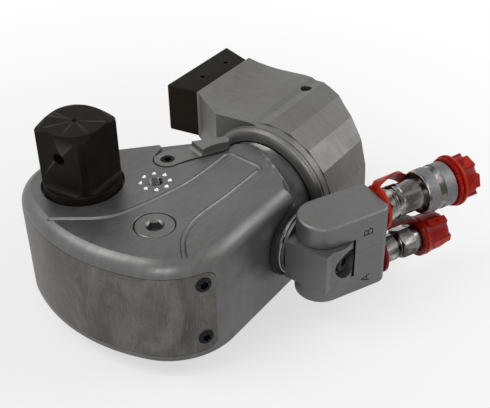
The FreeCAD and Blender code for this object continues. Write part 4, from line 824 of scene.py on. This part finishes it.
# The shroud's screws: two at each end of the band, a little proud of it.
SCREW_WALLS = (((-18.6, -111.4), 244.4), ((27.64 + 32 * 0.723, 28.92 - 32 * 0.691), 46.3))
SCREW_HEIGHTS = (-18.8, -60.3)
SCREW_PROUD = 0.8
SCREW_PLACES = []
for (x, y), way_angle in SCREW_WALLS:
    way = (math.cos(math.radians(way_angle)), math.sin(math.radians(way_angle)), 0)
    for z in SCREW_HEIGHTS:
        SCREW_PLACES.append(((x + SCREW_PROUD * way[0], y + SCREW_PROUD * way[1], z), way))
for target in (housing, shroud):
    hole = lathe("screw_hole", [(-5.5, 0), (-5.5, 5.15), (6, 5.15), (6, 0)], ORIGIN, "Z", 48)
    combine(target, copies("screw_holes", hole, SCREW_PLACES, housing_metal))

SPLINE_COUNT = 18
spline_box = [(x, y, z) for x in (101, 152) for y in (-3, 3) for z in (35.3, 42)]
spline_sides = [(0, 1, 3, 2), (4, 6, 7, 5), (0, 4, 5, 1), (2, 3, 7, 6), (0, 2, 6, 4), (1, 5, 7, 3)]
spline_points, spline_faces = [], []
for i in range(SPLINE_COUNT):
    way = turn(360 / SPLINE_COUNT * i, "X")
    spline_points += [tuple(way @ Vector(p)) for p in spline_box]
    spline_faces += [tuple(8 * i + v for v in face) for face in spline_sides]
combine(housing, make("splines", spline_points, spline_faces, BARREL))
combine(housing, cylinder("bore", BARREL, 28, 86.6, 160, "X", 96))
combine(housing, cylinder("button_hole", ORIGIN, 8.3, -90, -59, "Z", 64))
fit(housing, "housing", "housing_alloy", None, "housing", angle=19)
soften(shroud, 0.35, 2)
fit(shroud, "housing", "shroud_steel", shroud_metal, "nose_shroud")


def hexagon(across, turned=0):
    """A hexagon by its width across flats."""
    radius = across / math.sqrt(3)
    return [(radius * math.cos(math.radians(60 * i + turned)),
             radius * math.sin(math.radians(60 * i + turned))) for i in range(6)]


def socket_screw(name, radius, length, socket, depth):
    """A socket head seen from outside, its top at zero and its axis along Z."""
    head = lathe(name, [(-length, 0), (-length, radius), (-0.8, radius), (-0.25, radius - 0.25),
                        (0, radius - 0.8), (0, 0)], ORIGIN, "Z", 48)
    combine(head, prism("hex_hole", hexagon(socket), -depth, 1))
    return head


screws = copies("shroud_socket_screws", socket_screw("screw", 5.0, 4.6, 5, 3.0), SCREW_PLACES,
                black_metal)
fit(screws, "housing", "black_steel", black_metal, "shroud_screws")

plug = lathe("plug_disc", [(-10, 0), (-10, 12.55), (-0.9, 12.55), (-0.5, 12.3), (-0.25, 11.8),
                           (-0.25, 0)], PLUG, "Z", 120)
combine(plug, prism("plug_hex", hexagon(9, 12), -6, 1, PLUG))
combine(plug, lathe("plug_lead", [(-1.9, 0), (-1.9, 4.4), (-0.2, 6.1), (1, 6.1), (1, 0)],
                    PLUG, "Z", 64))
fit(plug, "housing", "bright_steel", plug_metal, "access_plug", angle=20)

# Square drive with turned corners, run outs above the collar and a pin hole.
drive = lathe("drive_body", [
    (-70, 0), (-70, 19.5), (-4.8, 19.5), (-4.8, 25), (3.9, 25), (4.9, 24.6), (5.2, 24.4),
    (6.5, 25), (42.6, 25), (43.3, 24.3), (45.4, 19.9), (45.7, 19.1), (45.7, 1.6), (44.6, 1.2),
    (43.8, 0)], DRIVE, "Z", 160)
DRIVE_HALF, RUN_OUT, RUN_OUT_HEIGHT, PIN_HEIGHT = 19.05, 4, 8.9, 27.9
side_tool = [(DRIVE_HALF, 50), (DRIVE_HALF, RUN_OUT_HEIGHT)]
for k in range(1, 10):
    angle = math.radians(10 * k)
    side_tool.append((DRIVE_HALF + RUN_OUT - RUN_OUT * math.cos(angle),
                      RUN_OUT_HEIGHT - RUN_OUT * math.sin(angle)))
side_tool += [(40, RUN_OUT_HEIGHT - RUN_OUT), (40, 50)]
for quarter in range(4):
    combine(drive, prism("flat", side_tool, -40, 40, DRIVE @ turn(90 * quarter, "Z") @ FROM_SIDE))
combine(drive, lathe("pin_hole", [(-30, 0), (-30, 3.9), (30, 3.9), (30, 0)],
                     DRIVE @ move(0, 0, PIN_HEIGHT), "X", 48))
for sign in (-1, 1):
    combine(drive, lathe("pin_lead", [(17.9 * sign, 0), (17.9 * sign, 3.5), (20.5 * sign, 5.6),
                                      (20.5 * sign, 0)], DRIVE @ move(0, 0, PIN_HEIGHT), "X", 48))
soften(drive, 0.4, 2, 28)
fit(drive, "drive", "black_steel", drive_black, "square_drive", angle=15)

# Release lever: a flat hub, a scalloped step and a thicker thumb piece.
lever = prism("lever", LEVER, -4.6, 5.4)
step_start, step_end = Vector((69.9, -27.5)), Vector((64.6, -44.5))
along = (step_end - step_start).normalized()
away = Vector((along.y, -along.x))
left_region = [tuple(step_start - along * 9), tuple(step_start - along * 9 + away * 45),
               tuple(step_end + along * 9 + away * 45), tuple(step_end + along * 9)]
HUB_TOP, SCALLOP = 0.5, 2.8
combine(lever, prism("flat_region", left_region, HUB_TOP, 12))
scallop_turn = Matrix(((along.x, -along.y, 0, 0), (along.y, along.x, 0, 0), (0, 0, 1, 0),
                       (0, 0, 0, 1)))
scallop_place = move(step_start.x, step_start.y, HUB_TOP + SCALLOP)
combine(lever, cylinder("scallop", scallop_place @ scallop_turn, SCALLOP, -12, 34, "X", 96))
beyond = [(x - away.x * SCALLOP, y - away.y * SCALLOP) for x, y in left_region]
combine(lever, prism("upper_region", beyond, HUB_TOP + SCALLOP, 12))
combine(lever, cylinder("thumb_hollow", move(66.6, -69.6, 0), 24.2, HUB_TOP, 12, "Z", 160))
combine(lever, lathe("lever_bore", [(-3, 0), (-3, 4.7), (0.1, 4.7), (0.8, 5.3), (2, 5.3), (2, 0)],
                     move(PIVOT_X, PIVOT_Y, 0), "Z", 48))
soften(lever, 0.6, 3, 30)
fit(lever, "pawl_release", "bright_steel", lever_metal, "release_lever", angle=24)
lever_screw = socket_screw("lever_socket_screw", 4.6, 3.4, 5, 2.4)
lever_screw.data.transform(Matrix.Translation(Vector((PIVOT_X, PIVOT_Y, 0.1)) * MM))
fit(lever_screw, "pawl_release", "black_steel", black_metal, "lever_screw")

# Reaction arm: turned ring, flat sided barrel and paddle.
ARM_FLATS, ARM_RADIUS, ARM_FIRST = 18, 50, 87
LOCK_X, LOCK_Y = 166.8, -61.7
arm_outline = []
for i in range(ARM_FLATS):
    angle = math.radians(ARM_FIRST + 20 * i)
    arm_outline.append((ARM_RADIUS * math.cos(angle), ARM_RADIUS * math.sin(angle)))
arm = prism("arm_barrel", arm_outline, 109.7, 184, BARREL @ END_VIEW)
hollow = [(-27.8, -63.2), (-24.2, -57.5), (-19.4, -50.4), (-13.6, -42.4), (-7, -34.6), (1, -27.5)]
paddle_outline = [(-71, 8), (-71, -84), (-55, -83), (-38.5, -72.4)] + hollow + [
    (1, 9.5), (-9, 8.3), (-18, 7.9), (-28, 8.2), (-42, 9.5), (-56.4, 10.9)]
paddle = prism("paddle", paddle_outline, 105.4, 184, END_VIEW)
combine(arm, paddle, "UNION")
front_cut = [(80, -27.3), (105.2, -27.3), (119.8, -1.0), (120.4, 30), (80, 30)]
combine(arm, prism("front_cut", front_cut, -100, 40))
BACK_LINE = [(184, -50), (182.8, -57), (180.8, -65), (177.2, -76), (173.2, -85), (168.6, -93),
             (164.2, -102), (160.6, -111), (156, -118.5), (153, -124), (150, -132)]
combine(arm, prism("back_cut", BACK_LINE + [(200, -132), (200, -50)], -100, 40))
combine(arm, lathe("ring", [
    (99.4, 36), (99.4, 41.2), (99.3, 42.6), (99.5, 44.2), (99.9, 45.6), (100.5, 46.9), (101.3, 47.9),
    (102.3, 48.5), (103.3, 48.6), (103.9, 47.8), (104.3, 47.8), (104.8, 48.7), (109.9, 49.0), (112, 49.0),
    (112, 36)], BARREL, "X", 240), "UNION")
combine(arm, lathe("arm_bore", [(95, 0), (95, 40.7), (99.2, 40.7), (99.6, 40.4), (101.6, 38.3),
                                (190, 38.3), (190, 0)], BARREL, "X", 180))
combine(arm, lathe("lock_hole", [(0, 0), (0, 4), (10.6, 4), (12.6, 5), (20, 5), (20, 0)],
                   move(LOCK_X, LOCK_Y, 0), "Z", 48))
soften(arm, 0.5, 2, 26)
fit(arm, "arm", "arm_alloy", arm_metal, "reaction_arm", angle=12)
lock = socket_screw("arm_lock_socket", 3.95, 8, 4, 3)
lock.data.transform(Matrix.Translation(Vector((LOCK_X, LOCK_Y, 7.6)) * MM))
fit(lock, "arm", "black_steel", black_metal, "arm_lock_screw")

pad_outline = round_corners([(120.3, 1, 0.6), (180.5, 1, 0.6), (188.5, 25.4, 1), (116, 25.4, 1)], 3)
pad = rounded_block("pad_block", pad_outline, -27.5, 9.5, 0.8, 0.8, steps=3)
PAD_HOLES = ((140.7, 11.8), (167.9, 11.1))
for x, y in PAD_HOLES:
    combine(pad, lathe("pad_hole", [(4, 0), (4, 1.5), (9, 1.5), (9.7, 1.9), (12, 1.9), (12, 0)],
                       move(x, y, 0), "Z", 32))
fit(pad, "arm", "black_steel", pad_black, "reaction_pad")

# Swivel ring, disc, block and the bolt in its counterbore.
swivel_ring = lathe("swivel_gasket", [(-118.3, 10.5), (-118.3, 24.3), (-117.8, 24.9),
                                      (-115.9, 25), (-115.4, 24.5), (-115.4, 10.5)], POST, "Y", 120)
fit(swivel_ring, "housing", "black_steel", black_metal, "swivel_ring")
swivel_disc = lathe("swivel_washer", [(-121, 10.5), (-121, 21.5), (-120.6, 22), (-118.4, 22),
                                      (-118.4, 10.5)], POST, "Y", 120)
fit(swivel_disc, "housing", "bright_steel", disc_metal, "swivel_disc")
block_outline = [(48, -124), (48, -154.6), (55, -154.6)]
block_outline += arc(SWIVEL_X, YOKE_PIN_Y, 20.8, -126, 40.8, 40) + [(83.0, -124)]
BLOCK_BOTTOM, BLOCK_TOP = -52.4, -23.6
BOLT_X = SWIVEL_X - 1.2
block = prism("block", block_outline, BLOCK_BOTTOM, BLOCK_TOP)
combine(block, cylinder("block_flange", POST, 21.2, -123.2, -121.4, "Y", 144), "UNION")
combine(block, lathe("counterbore", [(-165, 0), (-165, 10.2), (-152, 10.2), (-151, 9.4), (-151, 0)],
                     move(BOLT_X - SWIVEL_X, 0, 0) @ POST, "Y", 96))
for z in (BLOCK_TOP, BLOCK_BOTTOM):
    combine(block, cylinder("trunnion_seat", move(SWIVEL_X, YOKE_PIN_Y, z), 9.06, -5, 5, "Z", 64))
soften(block, 0.45, 2, 30)
fit(block, "swivel", "bright_steel", yoke_metal, "swivel_block")
bolt = lathe("swivel_bolt", [(-2.2, 0), (-2.2, 9.0), (-0.4, 9.0), (0, 8.6), (0, 7.2), (3.4, 7.2),
                             (4.2, 6.2), (4.2, 0)], ORIGIN, "Z", 64)
combine(bolt, prism("bolt_flats", hexagon(12.6, 10), -2.1, 0.05), "UNION")
combine(bolt, prism("bolt_socket", hexagon(6, 10), 1.2, 8))
bolt.data.transform(Matrix.Translation(Vector((BOLT_X, -151.6, CYLINDER_Z)) * MM)
                    @ Matrix.Rotation(math.radians(90), 4, "X"))
fit(bolt, "housing", "black_steel", black_metal, "post_bolt")

# Yoke halves with rolled rims, a round slot and engraved port letters.
YOKE_FACE = -16.9
yoke_end = [(20, YOKE_FACE, 0), (41.8, YOKE_FACE, 7), (42.0, 15.2, 4.5), (20, 16.4, 0)]
yoke_outline = arc(0, 0, 16.7, 90, 270, 48) + round_corners(yoke_end, 12)
# How far the end rings of the straps lean, and where and how wide the letters are cut.
END_SLANT = 4.0
LETTER_PLACE, LETTER_WIDTH = 23.6, 0.8
LETTER_STROKES = {
    "A": [[(-2.5, -3.4), (0.1, 3.4)], [(2.5, -3.4), (-0.1, 3.4)], [(-1.6, -1.1), (1.6, -1.1)]],
    "B": [[(-1.9, -3.5), (-1.9, 3.4)], [(-1.7, 3.0), (1.2, 3.0)], [(-1.7, 0.15), (1.4, 0.15)],
          [(-1.7, -3.1), (1.4, -3.1)], [(0.8, 3.1), (1.8, 1.9)], [(1.8, 2.2), (0.8, 0.1)],
          [(1.1, 0.3), (2.3, -1.2)], [(2.3, -0.9), (1.1, -3.2)]]}


def stroke(line, width):
    """A closed outline of even width round an open line."""
    sides = ([], [])
    for i, here in enumerate(line):
        before, after = Vector(line[max(i - 1, 0)]), Vector(line[min(i + 1, len(line) - 1)])
        across = Vector((before.y - after.y, after.x - before.x)).normalized() * width / 2
        for side_points, sign in zip(sides, (1, -1)):
            side_points.append((here[0] + sign * across.x, here[1] + sign * across.y))
    return sides[1] + list(reversed(sides[0]))


def engrave(half, letter, along, height):
    """Cuts a port letter, lying on its side, into the near face of a yoke half."""
    face = YOKE @ move(along, YOKE_FACE, height) @ turn(90, "X") @ turn(90, "Z")
    for i, line in enumerate(LETTER_STROKES[letter]):
        tool = prism("letter_" + letter, stroke(line, LETTER_WIDTH), -0.45 - 0.03 * i, 0.6, face)
        tool.data.materials.append(letter_dark)
        combine(half, tool)


def yoke_half(node, letter, letter_height, low, high, rounds, slot_span, trunnion_span):
    """One half of the yoke: letter first, then the slot for the block and the trunnion."""
    half = rounded_block(node + "_shape", yoke_outline, low, high, *rounds, YOKE)
    half.data.materials.append(yoke_metal)
    engrave(half, letter, LETTER_PLACE, letter_height)
    combine(half, cylinder("slot", YOKE, 22.2, *slot_span, "Z", 96))
    combine(half, cylinder("trunnion", YOKE, 9, *trunnion_span, "Z", 64), "UNION")
    fit(half, "yoke", "bright_steel", None, node, angle=24)


yoke_half("yoke_upper", "B", -20.6, -33.95, -8, (2.2, 0.3), (-40, -23.2), (-28.2, -22))
yoke_half("yoke_lower", "A", -58.5, -68, -34.05, (0.3, 2.2), (-52.8, -30), (-54, -47.8))


def hex_collar(name, place, across, start, end):
    """A chamfered hexagon along the local X axis."""
    nut = lathe(name, [(start, 0), (start, across * 0.5), (start + 0.9, across * 0.575),
                       (end - 0.9, across * 0.575), (end, across * 0.5), (end, 0)], place, "X", 72)
    combine(nut, prism("flats", hexagon(across, 30), start - 1, end + 1, place @ END_VIEW),
            "INTERSECT")
    return nut


# Upper coupler with its grooved body and locking sleeve.
body_b = lathe("coupler_b_turned", [
    (26, 0), (26, 6.4), (36, 6.4), (36, 8.2), (40.8, 8.2), (40.8, 9.0), (41.4, 9.5), (44.4, 9.5), (45, 9.0),
    (45, 8.2), (49.8, 8.2), (50, 10), (50.6, 10.8), (51.6, 11.2), (52.4, 10.4), (53.4, 10.4),
    (54, 11.2), (55.4, 11.3), (56.2, 10.5), (57.2, 10.5), (57.8, 11.1), (59.4, 11.1), (60, 10.65),
    (96.6, 10.65), (97.4, 10), (97.4, 7.5), (80, 7.5), (80, 0)], COUPLER_B, "X", 120)
combine(body_b, hex_collar("nut_b", COUPLER_B, 20.6, 46.2, 50.5), "UNION")
soften(body_b, 0.15, 2, 35)
fit(body_b, "yoke", "plated_steel", bright_metal, "coupler_b_body", angle=26)
sleeve_b = lathe("sleeve_turned", [
    (74, 10.75), (74, 13.6), (74.5, 14.4), (75.6, 15.1), (83, 15.25), (83.4, 14.7), (87.6, 14.7),
    (88, 15.25), (96.4, 15.25), (97.3, 14.6), (97.5, 13.8), (97.5, 10.75)], COUPLER_B, "X", 120)
sleeve_b.data.materials.append(bright_metal)
sleeve_b.data.materials.append(frosted_metal)
# The two knurled bands of the sleeve are rough, the rest of it is bright.
inverse_b = COUPLER_B.inverted()
for face in sleeve_b.data.polygons:
    centre = inverse_b @ (face.center / MM)
    knurled = 75.2 < centre.x < 83.1 or 87.9 < centre.x < 96.8
    if knurled and centre.yz.length > 13:
        face.material_index = 1
fit(sleeve_b, "sleeve", "plated_steel", None, "coupler_b_sleeve")

# Dust caps of red rubber, turned with raised lugs.
cap_b = lathe("cap_b_body", [
    (87, 0), (87, 7.4), (98.4, 7.4), (98.4, 15.8), (98.8, 16.6), (99.8, 16.9), (101, 16.4), (102.6, 15.4),
    (104.6, 14.7), (107, 14.4), (113.6, 14.0), (114.9, 13.3), (115.6, 12.2), (115.6, 0)],
    COUPLER_B, "X", 144)


def lug_set(name, place, shape_points, count, radius, start):
    """Lugs spaced round a cap, joined into one tool."""
    points, faces = [], []
    box_faces = [(0, 1, 2, 3), (7, 6, 5, 4), (0, 4, 5, 1), (1, 5, 6, 2), (2, 6, 7, 3), (3, 7, 4, 0)]
    for i in range(count):
        matrix = turn(360 * i / count + start, "X") @ move(0, 0, radius)
        base = len(points)
        points += [tuple(matrix @ Vector(p)) for p in shape_points]
        faces += [tuple(base + v for v in face) for face in box_faces]
    return make(name, points, faces, place)


combine(cap_b, lug_set("lugs_b", COUPLER_B, [
    (105.0, -5.2, -4), (105.0, 5.2, -4), (105.0, 4.8, 0.3), (105.0, -4.8, 0.3),
    (115.5, -5.0, -4), (115.5, 5.0, -4), (115.5, 4.4, 0.9), (115.5, -4.4, 0.9)], 6, 14.0, 14),
    "UNION")
soften(cap_b, 0.8, 3, 30)
fit(cap_b, "cap_b", "red_rubber", red_rubber, "dust_cap_b", angle=24)

cap_a = lathe("cap_a_body", [
    (78.4, 7.1), (78.4, 13.0), (78.8, 13.7), (80.0, 13.9), (81.6, 13.5), (84, 13.1), (92, 12.8),
    (95.6, 12.2), (97.8, 10.8), (98.6, 9.0), (98.6, 0), (97.2, 0), (97.2, 7.1)], COUPLER_A, "X", 144)
combine(cap_a, lug_set("lugs_a", COUPLER_A, [
    (83.4, -3.6, -3), (83.4, 3.6, -3), (83.4, 2.8, 0.3), (83.4, -2.8, 0.3),
    (98.4, -3.4, -5), (98.4, 3.4, -5), (98.4, 2.4, -0.6), (98.4, -2.4, -0.6)], 5, 13.0, 24),
    "UNION")
soften(cap_a, 0.8, 3, 30)
fit(cap_a, "cap_a", "red_rubber", red_rubber, "dust_cap_a", angle=24)


def strap(name, place, rings, path, width, thickness):
    """A flat strap with end rings.

    Its path is given by distance along the coupler, radius and angle from the top.
    """
    keys = []
    for along, radius, angle in path:
        way = math.radians(angle)
        keys.append(Vector((along, radius * math.sin(way), radius * math.cos(way))))
    smooth = []
    for i in range(len(keys) - 1):
        p0, p1, p2, p3 = keys[max(i - 1, 0)], keys[i], keys[i + 1], keys[min(i + 2, len(keys) - 1)]
        for k in range(10):
            t = k / 10
            smooth.append(0.5 * ((2 * p1) + (p2 - p0) * t + (2 * p0 - 5 * p1 + 4 * p2 - p3) * t * t
                                 + (3 * p1 - p0 - 3 * p2 + p3) * t ** 3))
    smooth.append(keys[-1])
    points, faces = [], []
    for i, here in enumerate(smooth):
        ahead = (smooth[min(i + 1, len(smooth) - 1)] - smooth[max(i - 1, 0)]).normalized()
        beside = Vector((0, here.z, -here.y)).normalized()
        beside = (beside - ahead * beside.dot(ahead)).normalized()
        up = ahead.cross(beside) * thickness / 2
        for share, sign in ((-1, 1), (-0.45, 1.25), (0.45, 1.25), (1, 1), (1, -1), (-1, -1)):
            points.append(tuple(here + beside * (share * width / 2) + up * sign))
    for i in range(len(smooth) - 1):
        for k in range(6):
            j = (k + 1) % 6
            faces.append((6 * i + k, 6 * i + j, 6 * i + 6 + j, 6 * i + 6 + k))
    faces += [(5, 4, 3, 2, 1, 0), tuple(6 * (len(smooth) - 1) + k for k in range(6))]
    piece = make(name, points, faces, place)
    for middle, inner, outer, thick, slant in rings:
        hoop = lathe("hoop", [(-thick / 2, inner), (-thick / 2, outer), (thick / 2, outer),
                              (thick / 2, inner)], place @ move(middle, 0, 0) @ turn(slant, "Z"), "X", 120)
        combine(piece, hoop, "UNION")
    soften(piece, 0.4, 2, 35)
    return piece


strap_b = strap("strap_b_moulded", COUPLER_B,
                [(43.4, 10.2, 15, 2.0, -END_SLANT), (102.6, 14.8, 17.6, 1.6, 0)],
                [(43.6, 12.5, 20), (44.2, 14.6, 20), (46.0, 15.9, 21), (49.6, 16.3, 28), (56.0, 16.5, 40),
                 (64.0, 16.8, 55), (70.5, 17.3, 72), (77, 17.8, 90), (86, 17.8, 101), (97, 17.8, 105),
                 (102.6, 17.0, 105)], 7.0, 1.7)
fit(strap_b, "yoke", "red_rubber", red_rubber, "strap_b")
# Strap A takes the darker copy of the red rubber: painted shade.
strap_a = strap("strap_a_moulded", COUPLER_A,
                [(44.8, 9.8, 14.4, 2.0, -END_SLANT), (76.9, 10.4, 13.6, 1.6, 0)],
                [(45.0, 12.2, 8), (46.0, 14.8, 8), (49, 16.2, 9), (54, 16.6, 10), (61, 16.6, 10),
                 (68, 16.4, 10), (74, 15.4, 10), (76.9, 13.0, 10)], 8.0, 1.8)
fit(strap_a, "yoke", "red_rubber", shaded_red_rubber, "strap_a")

# Lower coupler: adapter hexagon, neck, coupler hexagon and round ring.
adapter = lathe("adapter_turned", [
    (26, 0), (26, 6.4), (33.5, 6.4), (33.5, 8), (41, 8), (41.6, 7.4), (46, 7.4), (57.2, 7.4),
    (57.6, 6.6), (59.2, 6.6), (59.2, 0)], COUPLER_A, "X", 96)
combine(adapter, hex_collar("adapter_hex", COUPLER_A, 17, 46.8, 57.2), "UNION")
soften(adapter, 0.15, 2, 35)
fit(adapter, "yoke", "plated_steel", bright_metal, "coupler_a_adapter", angle=26)
body_a = lathe("coupler_a_turned", [
    (59.4, 0), (59.4, 8.6), (60, 9.2), (60.8, 8.4), (69.8, 8.4), (70.4, 9.8), (71, 10.1), (75.2, 10.1),
    (76, 9.6), (76.1, 8), (76.1, 6.9), (95.6, 6.9), (96.2, 6.3), (96.2, 0)], COUPLER_A, "X", 120)
combine(body_a, hex_collar("coupler_a_hex", COUPLER_A, 19, 60.6, 70.4), "UNION")
soften(body_a, 0.15, 2, 35)
fit(body_a, "yoke", "plated_steel", bright_metal, "coupler_a_body", angle=26)

# Every solid that stays visible gets the finish of its slot.
node_slots = {part["node"]: part["material_slot"] for part in frame["record"]["subparts"]}
for node, piece in frame["nodes"].items():
    piece.data.materials.clear()
    piece.data.materials.append(SLOT_FINISH[node_slots[node]])

# Pale floor, soft studio light and the camera of the photograph.
floor = make("floor", [(-4000, -4000, FLOOR_Z), (4000, -4000, FLOOR_Z), (4000, 4000, FLOOR_Z),
                       (-4000, 4000, FLOOR_Z)], [(0, 1, 2, 3)])


def background_rays(tree):
    """One where a ray shows the background: to the camera, in gloss or through glass."""
    paths = tree.nodes.new("ShaderNodeLightPath")
    share = paths.outputs["Is Camera Ray"]
    for name in ("Is Glossy Ray", "Is Transmission Ray"):
        most = tree.nodes.new("ShaderNodeMath")
        most.operation = "MAXIMUM"
        tree.links.new(share, most.inputs[0])
        tree.links.new(paths.outputs[name], most.inputs[1])
        share = most.outputs[0]
    return share


pale = Finish("pale_floor")
pale.colour(pale.ramp(pale.noise(3), [(0.3, (0.80, 0.80, 0.80)), (0.7, (0.83, 0.83, 0.83))]))
pale.shader.inputs["Roughness"].default_value = 0.9
# Away from the wrench the floor fades into the white background.
distance = pale.add("ShaderNodeVectorMath", operation="LENGTH")
pale.link(pale.coordinates, distance.inputs[0])
fade = pale.span(distance.outputs["Value"], 0.13, 0.50, 0.60, 1.0)
shown = pale.add("ShaderNodeMath", operation="MULTIPLY")
pale.link(fade, shown.inputs[0])
pale.link(background_rays(pale.tree), shown.inputs[1])
white = pale.add("ShaderNodeEmission")
mixed = pale.add("ShaderNodeMixShader")
pale.link(shown.outputs[0], mixed.inputs["Fac"])
pale.link(pale.shader.outputs["BSDF"], mixed.inputs[1])
pale.link(white.outputs["Emission"], mixed.inputs[2])
pale.link(mixed.outputs["Shader"], pale.tree.nodes["Material Output"].inputs["Surface"])
floor.data.materials.append(pale.material)


def lamp(name, place, aim, size, power):
    """A soft rectangular lamp that looks at a point, in metres and watts."""
    light = bpy.data.lights.new(name, "AREA")
    light.shape = "RECTANGLE"
    light.size, light.size_y = size
    light.energy = power
    holder = bpy.data.objects.new(name, light)
    bpy.context.scene.collection.objects.link(holder)
    holder.location = place
    holder.rotation_euler = (Vector(aim) - Vector(place)).to_track_quat("-Z", "Y").to_euler()


lamp("key_softbox", (-0.75, 0.75, 1.45), (0.05, -0.04, 0), (1.1, 1.1), 17)
lamp("side_softbox", (0.95, -0.95, 0.8), (0.08, -0.08, -0.03), (1.1, 0.9), 7)
lamp("front_softbox", (-0.95, -0.65, 0.45), (0.0, -0.05, -0.03), (0.5, 0.5), 3.2)

world = bpy.data.worlds.new("studio")
bpy.context.scene.world = world
world.use_nodes = True
sky = world.node_tree
background = sky.nodes["Background"]
level = sky.nodes.new("ShaderNodeMapRange")
level.inputs["To Min"].default_value = 0.30
level.inputs["To Max"].default_value = 1.0
sky.links.new(background_rays(sky), level.inputs["Value"])
sky.links.new(level.outputs["Result"], background.inputs["Strength"])
background.inputs["Color"].default_value = (1, 1, 1, 1)

camera = bpy.data.cameras.new("camera")
camera.sensor_width = 36
camera.lens = 70.55
camera.clip_start = 0.01
eye = bpy.data.objects.new("camera", camera)
bpy.context.scene.collection.objects.link(eye)
right = Vector((0.58458, -0.81121, -0.01406))
down = Vector((-0.48386, -0.33467, -0.80863))
ahead = Vector((0.65127, 0.47951, -0.58815))
eye.matrix_world = Matrix((
    (right.x, -down.x, -ahead.x, -0.34641), (right.y, -down.y, -ahead.y, -0.38354),
    (right.z, -down.z, -ahead.z, 0.34864), (0, 0, 0, 1)))
bpy.context.scene.camera = eye
bpy.context.scene.view_settings.view_transform = "Standard"
